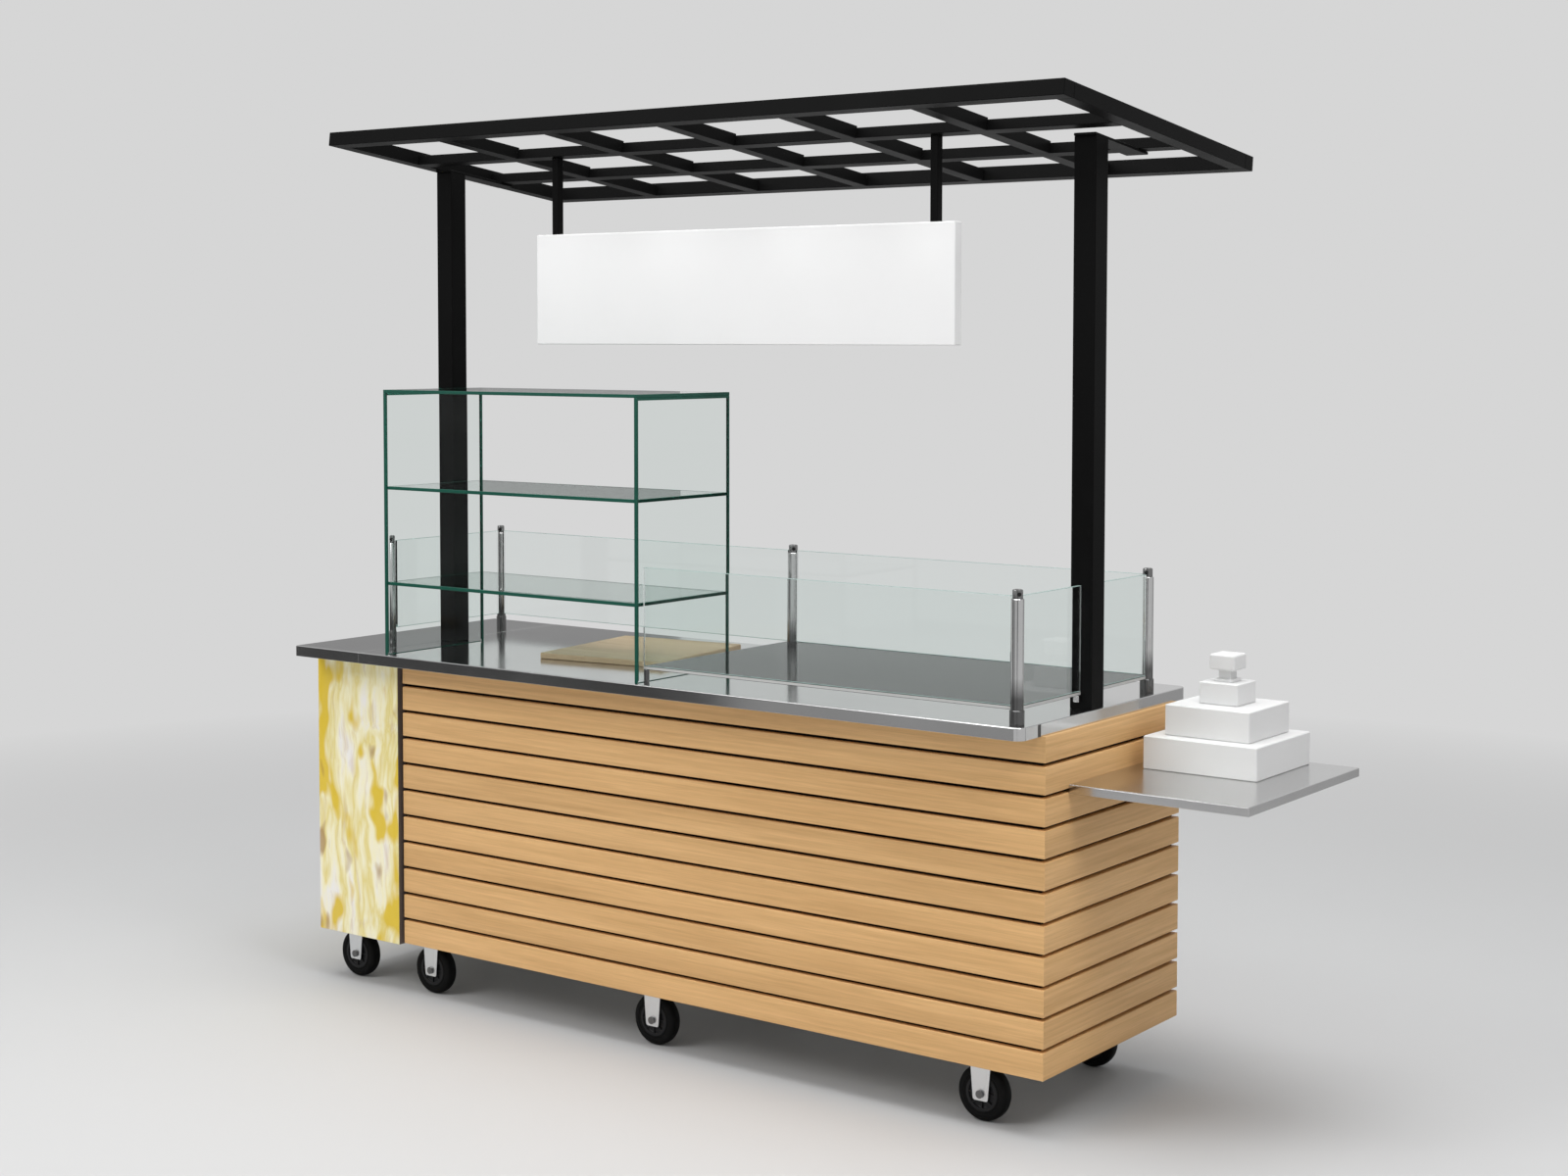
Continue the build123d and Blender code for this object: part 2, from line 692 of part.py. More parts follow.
# Caster top plates with their bolt heads, and a race and kingpin on each swivel one
caster_rows = (caster_front, caster_rear)
swivel_x = [caster_x[i] for i in SWIVEL_COLUMNS]
rigid_x = [x for x in caster_x if x not in swivel_x]
with BuildPart() as caster_plates:
    for x in caster_x:
        for y in caster_rows:
            half_x = PLATE_LENGTH / 2
            half_y = PLATE_WIDTH / 2
            block(x - half_x, x + half_x, y - half_y, y + half_y, plate_bottom, floor_bottom)
            for sx in (-1, 1):
                for sy in (-1, 1):
                    bolt_x = x + sx * (half_x - PLATE_BOLT_INSET)
                    bolt_y = y + sy * (half_y - PLATE_BOLT_INSET)
                    low = plate_bottom - PLATE_BOLT_HEAD
                    rod(bolt_x, bolt_y, low, plate_bottom, PLATE_BOLT_DIAMETER)
    for x in swivel_x:
        for y in caster_rows:
            head_top = crown_bottom - SWIVEL_GAP
            rod(x, y, race_bottom, plate_bottom, RACE_DIAMETER)
            rod(x, y, head_top - KINGPIN_HEAD, race_bottom, KINGPIN_DIAMETER)
            rod(x, y, head_top - KINGPIN_HEAD, head_top, KINGPIN_HEAD_DIAMETER)
keep(caster_plates, "caster_plates")


def fork_legs(x, y, top):
    """Two tapered side plates that hold a wheel's axle."""
    foot = wheel_radius - LEG_BELOW_AXLE
    for side in (leg_inside, -leg_outside):
        leg_plane = Plane(origin=(x, y + side + LEG_THICKNESS, 0), x_dir=(1, 0, 0), z_dir=(0, -1, 0))
        with BuildSketch(leg_plane) as leg:
            with BuildLine():
                Polyline(
                    (-LEG_BOTTOM_WIDTH / 2, foot),
                    (LEG_BOTTOM_WIDTH / 2, foot),
                    (LEG_TOP_WIDTH / 2, top),
                    (-LEG_TOP_WIDTH / 2, top),
                    close=True,
                )
            make_face()
            fillet(leg.vertices().group_by(Axis.Y)[0], LEG_CORNER)
            with Locations((0, wheel_radius)):
                Circle(AXLE_DIAMETER / 2 + AXLE_FIT, mode=Mode.SUBTRACT)
        extrude(leg.sketch, amount=LEG_THICKNESS)


def axle(x, y):
    """The wheel's axle bolt, with a head outside each leg."""
    cross_rod(x, wheel_radius, y - leg_outside, y + leg_outside, AXLE_DIAMETER)
    for side in (leg_outside, -leg_outside - AXLE_HEAD):
        cross_rod(x, wheel_radius, y + side, y + side + AXLE_HEAD, AXLE_HEAD_DIAMETER)


# Rigid forks under the two middle columns, fixed to their plates
with BuildPart() as rigid_caster_forks:
    for x in rigid_x:
        for y in caster_rows:
            crown_x = LEG_TOP_WIDTH / 2
            block(x - crown_x, x + crown_x, y - leg_outside, y + leg_outside, race_bottom, plate_bottom)
            fork_legs(x, y, race_bottom)
    for x in rigid_x:
        for y in caster_rows:
            axle(x, y)
keep(rigid_caster_forks, "rigid_caster_forks")

# Swivel forks at the four corners, with their wheels trailing to the left
corner = 0
for x in swivel_x:
    for y in caster_rows:
        corner += 1
        with BuildPart() as swivel_fork:
            crown_right = x + LEG_TOP_WIDTH / 2
            crown_left = x - TRAIL - LEG_TOP_WIDTH / 2
            block(crown_left, crown_right, y - leg_outside, y + leg_outside, crown_bottom, crown_top)
            rod(x, y, crown_bottom, crown_top, RACE_DIAMETER)
            bore = KINGPIN_DIAMETER + 2 * AXLE_FIT
            rod(x, y, crown_bottom, crown_top, bore, Mode.SUBTRACT)
            fork_legs(x - TRAIL, y, crown_bottom)
            axle(x - TRAIL, y)
        keep(swivel_fork, f"swivel_fork_{corner}")


def wheel_solids(x, y):
    """A hub and the tyre around it, revolved about the axle."""
    half = WHEEL_WIDTH / 2
    bore = AXLE_DIAMETER / 2 + AXLE_FIT
    boss = HUB_BOSS_DIAMETER / 2
    rim = HUB_DIAMETER / 2
    web = half - HUB_RECESS
    with BuildSketch(Plane(origin=(x, y, wheel_radius))) as section:
        with BuildLine():
            Polyline(
                (bore, -half),
                (boss, -half),
                (boss, -web),
                (rim - HUB_RIM, -web),
                (rim - HUB_RIM, -half),
                (rim, -half),
                (rim, half),
                (rim - HUB_RIM, half),
                (rim - HUB_RIM, web),
                (boss, web),
                (boss, half),
                (bore, half),
                close=True,
            )
        make_face()
        with BuildLine():
            Polyline(
                (rim + TYRE_SEAT, -half),
                (wheel_radius - TYRE_EDGE, -half),
                (wheel_radius, -half + TYRE_EDGE),
                (wheel_radius, half - TYRE_EDGE),
                (wheel_radius - TYRE_EDGE, half),
                (rim + TYRE_SEAT, half),
                close=True,
            )
        make_face()
    revolve(section.sketch, axis=Axis((x, y, wheel_radius), (0, 1, 0)))


# Wheels, numbered along the cart from the left, front before rear
count = 0
for x in caster_x:
    for y in caster_rows:
        count += 1
        trail = TRAIL if x in swivel_x else 0
        with BuildPart() as wheel:
            wheel_solids(x - trail, y)
        keep(wheel, f"wheel_{count}")
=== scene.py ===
"""Looks for the crepe cart, laid out as an add-on and run as a script.

Every length is in metres. +X runs along the front to the right, +Y to the back and +Z up.
"""
import json
from math import cos, pi, radians, sin

import bmesh
import bpy
from bpy.props import FloatProperty, FloatVectorProperty, IntProperty, PointerProperty
from mathutils import Matrix, Vector


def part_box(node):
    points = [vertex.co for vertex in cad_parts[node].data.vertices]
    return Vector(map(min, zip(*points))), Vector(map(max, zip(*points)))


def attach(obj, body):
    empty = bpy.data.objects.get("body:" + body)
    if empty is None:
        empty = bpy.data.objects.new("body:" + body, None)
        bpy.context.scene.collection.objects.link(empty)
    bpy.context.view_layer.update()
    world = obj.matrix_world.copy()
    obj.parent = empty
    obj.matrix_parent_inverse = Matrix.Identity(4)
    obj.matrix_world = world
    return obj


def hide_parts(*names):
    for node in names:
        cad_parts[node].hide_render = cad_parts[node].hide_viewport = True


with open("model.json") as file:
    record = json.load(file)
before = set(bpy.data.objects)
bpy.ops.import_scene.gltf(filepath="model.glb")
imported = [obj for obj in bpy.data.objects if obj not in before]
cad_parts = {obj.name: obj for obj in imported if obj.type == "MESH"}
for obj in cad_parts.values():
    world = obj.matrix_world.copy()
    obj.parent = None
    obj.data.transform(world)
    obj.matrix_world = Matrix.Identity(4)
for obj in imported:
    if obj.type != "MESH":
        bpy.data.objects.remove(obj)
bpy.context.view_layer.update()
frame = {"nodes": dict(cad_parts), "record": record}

bl_info = {
    "name": "Crepe cart looks",
    "version": (1, 0, 0),
    "blender": (4, 5, 0),
    "location": "View3D > Sidebar > Crepe cart",
    "description": "Finishes the crepe cart's pieces around its CAD frame and sets the studio",
    "category": "Object",
}

body_with = {
    node: body
    for body, nodes in frame["record"]["behaviour"]["bodies"].items()
    for node in nodes
}
finishes = {}
shared = {}

NUMBER, WHOLE = "NodeSocketFloat", "NodeSocketInt"
VECTOR, COLOUR = "NodeSocketVector", "NodeSocketColor"
MATERIAL, GEOMETRY = "NodeSocketMaterial", "NodeSocketGeometry"
SLAT_TONE = "slat_tone"


# Mesh helpers


def tidy_copy(node):
    """A bmesh of a CAD node with its triangles joined into plain faces."""
    source = frame["nodes"][node].data
    mesh = bpy.data.meshes.new("copy")
    corners = [v.co[:] for v in source.vertices]
    mesh.from_pydata(corners, [], [p.vertices[:] for p in source.polygons])
    bm = bmesh.new()
    bm.from_mesh(mesh)
    bpy.data.meshes.remove(mesh)
    bmesh.ops.remove_doubles(bm, verts=bm.verts, dist=2e-6)
    bmesh.ops.dissolve_limit(bm, angle_limit=radians(0.6), verts=bm.verts, edges=bm.edges)
    return bm


def smooth_by_angle(bm, angle):
    """Smooth faces, with the edges sharper than the angle kept sharp."""
    for face in bm.faces:
        face.smooth = True
    for edge in bm.edges:
        edge.smooth = len(edge.link_faces) == 2 and edge.calc_face_angle(pi) < radians(angle)


def piece_from(bm, name, *materials, angle=32):
    """A new object of the bmesh's faces, in the named finishes, with its place in its mesh."""
    smooth_by_angle(bm, angle)
    mesh = bpy.data.meshes.new(name)
    bm.to_mesh(mesh)
    bm.free()
    for material in materials:
        mesh.materials.append(finishes[material])
    piece = bpy.data.objects.new(name, mesh)
    bpy.context.scene.collection.objects.link(piece)
    return piece


def goes_with(piece, node):
    """The piece rides with a node's body and takes its material slot."""
    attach(piece, body_with[node])


def finished(bm, node, *materials, angle=32):
    """The bmesh as the piece that stands in a node's place."""
    piece = piece_from(bm, f"{node}_finished", *materials, angle=angle)
    goes_with(piece, node)
    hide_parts(node)
    return piece


def soften(piece, width, segments=2):
    """Round the piece's sharp edges, as a real one's are."""
    bevel = piece.modifiers.new("rounded edges", "BEVEL")
    bevel.width = width
    bevel.segments = segments
    bevel.limit_method = "ANGLE"
    bevel.angle_limit = radians(28)
    bevel.harden_normals = True
    bevel.use_clamp_overlap = True


def rounded(node, width, *materials, segments=2):
    """A node's own shape with its edges rounded, standing in its place."""
    piece = finished(tidy_copy(node), node, *materials)
    soften(piece, width, segments)
    return piece


def strip(name, node, low, high, material, edge):
    """A thin strip between two corners, with softened edges, that goes with a node."""
    middle = (Vector(low) + Vector(high)) / 2
    spread = Vector(high) - Vector(low)
    place = Matrix.Translation(middle) @ Matrix.Diagonal((*spread, 1))
    bm = bmesh.new()
    bmesh.ops.create_cube(bm, size=1, matrix=place)
    piece = piece_from(bm, name, material)
    soften(piece, edge, 1)
    goes_with(piece, node)


def add_turned(bm, outline, place, segments, slot=0, closed=False):
    """Turn an outline of (radius, height) points about the local Z axis at a place."""
    rings = []
    for radius, height in outline:
        if radius < 1e-6:
            rings.append([bm.verts.new(place @ Vector((0, 0, height)))])
            continue
        ring = []
        for k in range(segments):
            turn = 2 * pi * k / segments
            point = Vector((radius * cos(turn), radius * sin(turn), height))
            ring.append(bm.verts.new(place @ point))
        rings.append(ring)
    pairs = list(zip(rings, rings[1:]))
    if closed:
        pairs.append((rings[-1], rings[0]))
    made = []
    for low, high in pairs:
        for k in range(segments):
            n = (k + 1) % segments
            if len(low) == 1:
                made.append(bm.faces.new((low[0], high[n], high[k])))
            elif len(high) == 1:
                made.append(bm.faces.new((low[k], low[n], high[0])))
            else:
                made.append(bm.faces.new((low[k], low[n], high[n], high[k])))
    for face in made:
        face.material_index = slot
    bmesh.ops.recalc_face_normals(bm, faces=made)


def upright(x, y, z=0.0):
    """The place of something that stands at a point."""
    return Matrix.Translation((x, y, z))


def along_y(x, y, z):
    """The place of something turned about a line along Y."""
    return Matrix.Translation((x, y, z)) @ Matrix.Rotation(radians(-90), 4, "X")


def mirrored(half):
    """The other half of an outline, back from the first one's end."""
    return tuple((radius, -height) for radius, height in reversed(half))


def rod(radius, low, high, edge):
    """The outline of an upright rod whose top corner is cut."""
    return (0, low), (radius, low), (radius, high - edge), (radius - edge, high), (0, high)


# Node helpers, for shaders and for Geometry Nodes


def give(socket, value):
    """Feed a socket from another one or from a node's first output, or set its value."""
    if isinstance(value, bpy.types.Node):
        value = value.outputs[0]
    if isinstance(value, bpy.types.NodeSocket):
        socket.id_data.links.new(value, socket)
    elif socket.type == "RGBA":
        socket.default_value = (*value, 1)
    else:
        socket.default_value = value


def feed(node, **inputs):
    """Give a node's inputs, by their names, what feeds them."""
    for label, value in inputs.items():
        give(node.inputs[label.replace("_", " ")], value)


def add_node(tree, kind, settings=(), **inputs):
    """Add a node with its settings and what feeds its inputs."""
    node = tree.nodes.new(kind)
    for name, value in dict(settings).items():
        setattr(node, name, value)
    feed(node, **inputs)
    return node


def add_in_turn(tree, kind, settings, *values):
    """Add a node whose inputs are fed in their order, and return its first output."""
    node = add_node(tree, kind, settings)
    for socket, value in zip(node.inputs, values):
        give(socket, value)
    return node.outputs[0]


def maths(tree, operation, *values, kind="ShaderNodeMath"):
    """The result of a Math node."""
    return add_in_turn(tree, kind, {"operation": operation}, *values)


def stretch(tree, vector, scale):
    """The vector with each axis multiplied by its own number."""
    return maths(tree, "MULTIPLY", vector, scale, kind="ShaderNodeVectorMath")


def noise(tree, vector, scale, detail, roughness, output="Fac"):
    """What a noise texture gives for a vector."""
    node = add_node(tree, "ShaderNodeTexNoise", Vector=vector, Scale=scale)
    feed(node, Detail=detail, Roughness=roughness)
    return node.outputs[output]


def remap(tree, value, low, high, to_low, to_high):
    """The value moved from one range to another, and kept within it."""
    return add_in_turn(tree, "ShaderNodeMapRange", {}, value, low, high, to_low, to_high)


def blend_colours(tree, share, a, b):
    """A mix of two colours."""
    node = add_node(tree, "ShaderNodeMix", {"data_type": "RGBA"})
    for index, value in ((0, share), (6, a), (7, b)):
        give(node.inputs[index], value)
    return node.outputs[2]


def mix_shaders(tree, share, a, b):
    """A mix of two shaders."""
    return add_in_turn(tree, "ShaderNodeMixShader", {}, share, a, b)


def surface(tree, shader):
    """Make a shader the material's surface."""
    feed(tree.nodes["Material Output"], Surface=shader)


def object_point(tree):
    """Object coordinates."""
    return tree.nodes.new("ShaderNodeTexCoord").outputs["Object"]


def dimmed(colour, share):
    """A darker colour."""
    return tuple(c * share for c in colour)


def new_tree(name, kind, inputs, outputs):
    """A node tree with its named sockets, what it is given and the node that it feeds."""
    tree = bpy.data.node_groups.new(name, kind)
    for way, sockets in (("INPUT", inputs), ("OUTPUT", outputs)):
        for label, socket_kind in sockets.items():
            tree.interface.new_socket(label, in_out=way, socket_type=socket_kind)
    return tree, tree.nodes.new("NodeGroupInput").outputs, tree.nodes.new("NodeGroupOutput")


def grouped(tree, name, **inputs):
    """The outputs of a shared group, placed in a material with its own values."""
    return add_node(tree, "ShaderNodeGroup", {"node_tree": shared[name]}, **inputs).outputs


def new_material(name, colour, roughness, metallic=0.0, specular=None):
    """The tree of a new material and its Principled BSDF, set to plain values."""
    material = bpy.data.materials.new(name)
    material.use_nodes = True
    finishes[name] = material
    shader = material.node_tree.nodes["Principled BSDF"]
    feed(shader, Base_Color=colour, Roughness=roughness, Metallic=metallic)
    if specular is not None:
        feed(shader, Specular_IOR_Level=specular)
    return material.node_tree, shader


def bump(tree, shader, height, strength, distance):
    """Feed a height to the shader's normal."""
    node = add_node(tree, "ShaderNodeBump", Strength=strength, Distance=distance, Height=height)
    feed(shader, Normal=node)


# Shader groups that several finishes share


def make_grain_group():
    """Straight wood grain: long fibres, fine pores and a tone that drifts."""
    tree, given, result = new_tree(
        "wood grain",
        "ShaderNodeTree",
        {"Vector": VECTOR, "Light": COLOUR, "Dark": COLOUR, "Contrast": NUMBER, "Tone": NUMBER},
        {"Color": COLOUR, "Roughness": NUMBER, "Height": NUMBER},
    )
    shift = add_node(tree, "ShaderNodeCombineXYZ")
    for socket, moved in zip(shift.inputs, (7.3, 3.1, 5.7)):
        give(socket, maths(tree, "MULTIPLY", given["Tone"], moved))
    point = maths(tree, "ADD", given["Vector"], shift, kind="ShaderNodeVectorMath")
    fibres = noise(tree, stretch(tree, point, (1.1, 48, 48)), 2.6, 5.0, 0.62)
    bands = noise(tree, stretch(tree, point, (0.55, 9, 9)), 1.7, 3.0, 0.5)
    pores = noise(tree, stretch(tree, point, (7, 320, 320)), 1.9, 2.0, 0.5)
    fine = remap(tree, fibres, 0.32, 0.72, 0, 0.62)
    broad = remap(tree, bands, 0.35, 0.68, 0, 0.38)
    share = maths(tree, "MULTIPLY", maths(tree, "ADD", fine, broad), given["Contrast"])
    drift = remap(tree, given["Tone"], 0, 1, 0.95, 1.05)
    streak = remap(tree, pores, 0.3, 0.62, 0.93, 1.02)
    lift = add_node(
        tree,
        "ShaderNodeHueSaturation",
        Value=maths(tree, "MULTIPLY", drift, streak),
        Color=blend_colours(tree, share, given["Light"], given["Dark"]),
    )
    feed(
        result,
        Color=lift,
        Roughness=remap(tree, fibres, 0.3, 0.7, 0.42, 0.56),
        Height=maths(tree, "ADD", maths(tree, "MULTIPLY", fibres, 0.6), pores),
    )
    return tree


def make_polish_group():
    """Polished sheet metal: faint lengthwise lines, cloudy wipe marks and a little dust."""
    tree, given, result = new_tree(
        "polished metal",
        "ShaderNodeTree",
        {"Vector": VECTOR, "Base": NUMBER, "Spread": NUMBER},
        {"Roughness": NUMBER, "Height": NUMBER, "Mask": NUMBER},
    )
    point = given["Vector"]
    clouds = noise(tree, point, 3.2, 4.0, 0.55)
    lines = noise(tree, stretch(tree, point, (1.2, 420, 420)), 1.0, 2.0, 0.6)
    dust = noise(tree, point, 140, 2.0, 0.5)
    wipe = maths(tree, "MULTIPLY", remap(tree, clouds, 0.3, 0.7, -1, 1), given["Spread"])
    rough = maths(tree, "ADD", given["Base"], wipe)
    grit = remap(tree, dust, 0.62, 0.8, 0, 0.05)
    feed(result, Roughness=maths(tree, "ADD", rough, grit), Height=lines, Mask=clouds)
    return tree


def make_coat_group():
    """Sprayed or powder coated surface: a fine orange peel and a soft change of sheen."""
    tree, given, result = new_tree(
        "sprayed coat",
        "ShaderNodeTree",
        {"Vector": VECTOR, "Grain": NUMBER, "Base": NUMBER},
        {"Roughness": NUMBER, "Height": NUMBER, "Tone": NUMBER},
    )
    peel = noise(tree, given["Vector"], given["Grain"], 2.0, 0.5)
    sheen = noise(tree, given["Vector"], 5, 3.0, 0.5)
    change = remap(tree, sheen, 0.3, 0.7, -0.05, 0.05)
    rough = maths(tree, "ADD", given["Base"], change)
    feed(result, Roughness=rough, Height=peel, Tone=remap(tree, sheen, 0.3, 0.7, 0, 1))
    return tree


# Finishes


def wood_finish(name, light, dark, contrast=1.0, across=False, toned=False):
    """A lacquered wood, its grain along X or else along Y, toned slat by slat where asked."""
    tree, shader = new_material(name, light, 0.5, specular=0.35)
    point = object_point(tree)
    if across:
        turn = (0, 0, radians(90))
        point = add_node(tree, "ShaderNodeMapping", Vector=point, Rotation=turn)
    tone = 0.5
    if toned:
        named = add_node(tree, "ShaderNodeAttribute", {"attribute_name": SLAT_TONE})
        tone = named.outputs["Fac"]
    grain = grouped(
        tree, "grain", Vector=point, Light=light, Dark=dark, Contrast=contrast, Tone=tone
    )
    feed(shader, Base_Color=grain["Color"], Roughness=grain["Roughness"])
    bump(tree, shader, grain["Height"], 0.25, 0.0006)


def metal_finish(name, colour, base, spread, height=0.06, foot=None):
    """A polished or plated metal, with a painted reflection that darkens it below the heights in
    foot, where they are given.
    """
    tree, shader = new_material(name, colour, base, metallic=1.0)
    point = object_point(tree)
    polish = grouped(tree, "polish", Vector=point, Base=base, Spread=spread)
    share = remap(tree, polish["Mask"], 0.3, 0.7, 0, 1)
    tint = blend_colours(tree, share, dimmed(colour, 0.94), colour)
    # Painted reflection: below high_z the colour fades to the dark colour, reaching it at low_z,
    # standing for the dark plate mirrored in the metal
    if foot:
        low_z, high_z, dark = foot
        up = add_node(tree, "ShaderNodeSeparateXYZ", Vector=point).outputs["Z"]
        tint = blend_colours(tree, remap(tree, up, low_z, high_z, 0, 1), dark, tint)
    feed(shader, Base_Color=tint, Roughness=polish["Roughness"])
    if height:
        bump(tree, shader, polish["Height"], height, 0.0002)


def coated_finish(name, colour, base, grain, strength, specular=None, drift=0.06):
    """A painted, moulded or laminated surface."""
    tree, shader = new_material(name, colour, base, specular=specular)
    coat = grouped(tree, "coat", Vector=object_point(tree), Grain=grain, Base=base)
    tint = blend_colours(tree, coat["Tone"], dimmed(colour, 1 - drift), colour)
    feed(shader, Base_Color=tint, Roughness=coat["Roughness"])
    bump(tree, shader, coat["Height"], strength, 0.0003)


def glass_finish(name, colour, ior):
    """Clear glass that lets the lamps' light through to what is behind it."""
    tree, shader = new_material(name, colour, 0.0)
    marks = noise(tree, object_point(tree), 9, 3.0, 0.6)
    rough = remap(tree, marks, 0.55, 0.8, 0.0, 0.035)
    feed(shader, IOR=ior, Transmission_Weight=1.0, Roughness=rough)
    ray = tree.nodes.new("ShaderNodeLightPath").outputs
    clear = add_node(tree, "ShaderNodeBsdfTransparent", Color=colour)
    surface(tree, mix_shaders(tree, ray["Is Shadow Ray"], shader, clear))


def print_finish(settings):
    """A generic print: soft upright washes with loose drifting dabs of yellow and brown."""
    tree, shader = new_material("bay_print", settings.cream, 0.35)
    point = object_point(tree)
    wobble = noise(tree, point, 2.4, 3.0, 0.5, "Color")
    reach = (0.16, 0.16, 0.05)
    bent = maths(tree, "MULTIPLY_ADD", wobble, reach, point, kind="ShaderNodeVectorMath")
    washes = noise(tree, stretch(tree, bent, (15, 15, 2.1)), 1.0, 4.0, 0.55)
    streaks = noise(tree, stretch(tree, bent, (44, 44, 3.4)), 1.0, 4.0, 0.6)
    dabs = noise(tree, stretch(tree, bent, (13, 13, 5.2)), 1.0, 2.0, 0.45, "Color")
    ramp = add_node(tree, "ShaderNodeValToRGB", Fac=washes)
    stops = (
        (0.30, settings.white),
        (0.42, settings.cream),
        (0.50, settings.pale_yellow),
        (0.58, settings.cream),
        (0.66, settings.white),
    )
    elements = ramp.color_ramp.elements
    for position, _ in stops[1:-1]:
        elements.new(position)
    for element, (position, colour) in zip(elements, stops):
        element.position = position
        element.color = (*colour, 1)
    tan = remap(tree, streaks, 0.56, 0.74, 0, 0.55)
    colour = blend_colours(tree, tan, ramp, settings.tan)
    parts = add_node(tree, "ShaderNodeSeparateColor", Color=dabs).outputs
    yellow = remap(tree, parts[0], 0.56, 0.63, 0, 0.95)
    colour = blend_colours(tree, yellow, colour, settings.yellow)
    brown = remap(tree, parts[1], 0.62, 0.68, 0, 0.7)
    colour = blend_colours(tree, brown, colour, settings.brown)
    coat = grouped(tree, "coat", Vector=point, Grain=420.0, Base=0.32)
    feed(shader, Base_Color=colour, Roughness=coat["Roughness"])
    bump(tree, shader, coat["Height"], 0.05, 0.0002)


def rubber_finish():
    """Black rubber with a little road dust."""
    tree, shader = new_material("tyre_rubber", (0.010, 0.010, 0.010), 0.6, specular=0.1)
    point = object_point(tree)
    coat = grouped(tree, "coat", Vector=point, Grain=900.0, Base=0.58)
    dust = remap(tree, noise(tree, point, 55, 4.0, 0.6), 0.5, 0.75, 0, 0.12)
    tint = blend_colours(tree, dust, (0.004, 0.004, 0.004), (0.03, 0.029, 0.028))
    feed(shader, Base_Color=tint, Roughness=coat["Roughness"])
    bump(tree, shader, coat["Height"], 0.3, 0.0003)


# Settings that a user may change


def shade(name, colour, description):
    """A colour property."""
    return FloatVectorProperty(
        name=name,
        description=description,
        default=colour,
        size=3,
        subtype="COLOR",
        min=0,
        max=1,
    )


def span(name, value, description):
    """A length property, in metres."""
    return FloatProperty(name=name, description=description, default=value, min=0, unit="LENGTH")


def amount(name, value, description, **limits):
    """A number property, with its limits and unit."""
    return FloatProperty(name=name, description=description, default=value, **limits)


class CREPECART_PG_wood(bpy.types.PropertyGroup):
    """Slats and boards."""

    slat_light: shade("Slat light", (0.83, 0.512, 0.228), "Palest colour of the slats' grain")
    slat_dark: shade("Slat dark", (0.58, 0.333, 0.130), "Darkest colour of the slats' grain")
    board_light: shade("Board light", (0.50, 0.37, 0.24), "Palest colour of the serving board")
    board_dark: shade("Board dark", (0.38, 0.27, 0.165), "Darkest colour of the serving board")
    slat_count: IntProperty(
        name="Slats", description="Number of slats from floor to top", default=11, min=1
    )
    slat_pitch: span("Slat pitch", 0.068, "Height from one slat to the next")
    slat_height: span("Slat height", 0.0598, "Height of one slat")
    slat_edge: span("Slat edge", 0.0022, "Radius of the slats' long edges")


class CREPECART_PG_metal(bpy.types.PropertyGroup):
    """Steel, chrome and coated frames."""

    steel: shade("Worktop steel", (0.62, 0.62, 0.62), "Colour of the worktop")
    shelf: shade("Shelf steel", (0.64, 0.64, 0.64), "Colour of the side shelf")
    chrome: shade("Chrome", (0.60, 0.60, 0.60), "Colour of the guard posts")
    caps: shade("Caps", (0.22, 0.22, 0.22), "Colour of the guard posts' caps")
    # The feet's colour also paints the dark plate's reflection on the posts' chrome just above
    # their feet
    feet: shade("Feet", (0.14, 0.14, 0.14), "Colour of the guard posts' feet")
    zinc: shade("Zinc", (0.74, 0.75, 0.76), "Colour of the caster forks")
    black: shade("Black coat", (0.005, 0.005, 0.005), "Colour of the canopy's powder coat")
    # The dark plate's near-black colour is painted shade on the worktop inside the guard
    plate: shade("Hot plate", (0.010, 0.009, 0.009), "Colour of the dark plate")
    # The plate's pale sides are a painted reflection of the bright backdrop
    plate_side: shade("Plate side", (0.52, 0.52, 0.51), "Colour of the dark plate's sides")
    steel_roughness: amount(
        "Worktop roughness", 0.13, "How much the worktop blurs what it mirrors", min=0, max=1
    )


class CREPECART_PG_glass(bpy.types.PropertyGroup):
    """Panes."""

    case_tint: shade("Case glass", (0.90, 0.945, 0.93), "Tint of the display case's panes")
    shelf_tint: shade("Shelf glass", (0.52, 0.60, 0.57), "Tint of the case's shelves")
    guard_tint: shade("Guard glass", (0.93, 0.965, 0.955), "Tint of the guard's panes")
    case_edge: shade("Case edge", (0.011, 0.082, 0.057), "Colour of the case's glass edges")
    guard_edge: shade("Guard edge", (0.28, 0.38, 0.355), "Colour of the guard's glass edges")
    arris: span("Arris", 0.0007, "Width of the ground corner along each pane's edge")
    band: span("Edge band", 0.008, "Width of the green band inside the case's edges")


class CREPECART_PG_print(bpy.types.PropertyGroup):
    """Colours of the left bay's generic print."""

    cream: shade("Cream", (1.0, 0.94, 0.64), "Cream ground of the print")
    pale_yellow: shade("Pale yellow", (0.86, 0.73, 0.28), "Soft yellow washes")
    yellow: shade("Yellow", (0.80, 0.56, 0.02), "Bright yellow dabs")
    white: shade("White", (0.96, 0.93, 0.88), "White washes")
    tan: shade("Tan", (0.62, 0.43, 0.27), "Light brown streaks")
    brown: shade("Brown", (0.36, 0.17, 0.05), "Brown dabs")


class CREPECART_PG_whites(bpy.types.PropertyGroup):
    """Sign and display blocks."""

    sign: shade("Sign", (0.88, 0.88, 0.88), "Colour of the sign board")
    blocks: shade("Blocks", (0.76, 0.76, 0.76), "Colour of the display blocks")


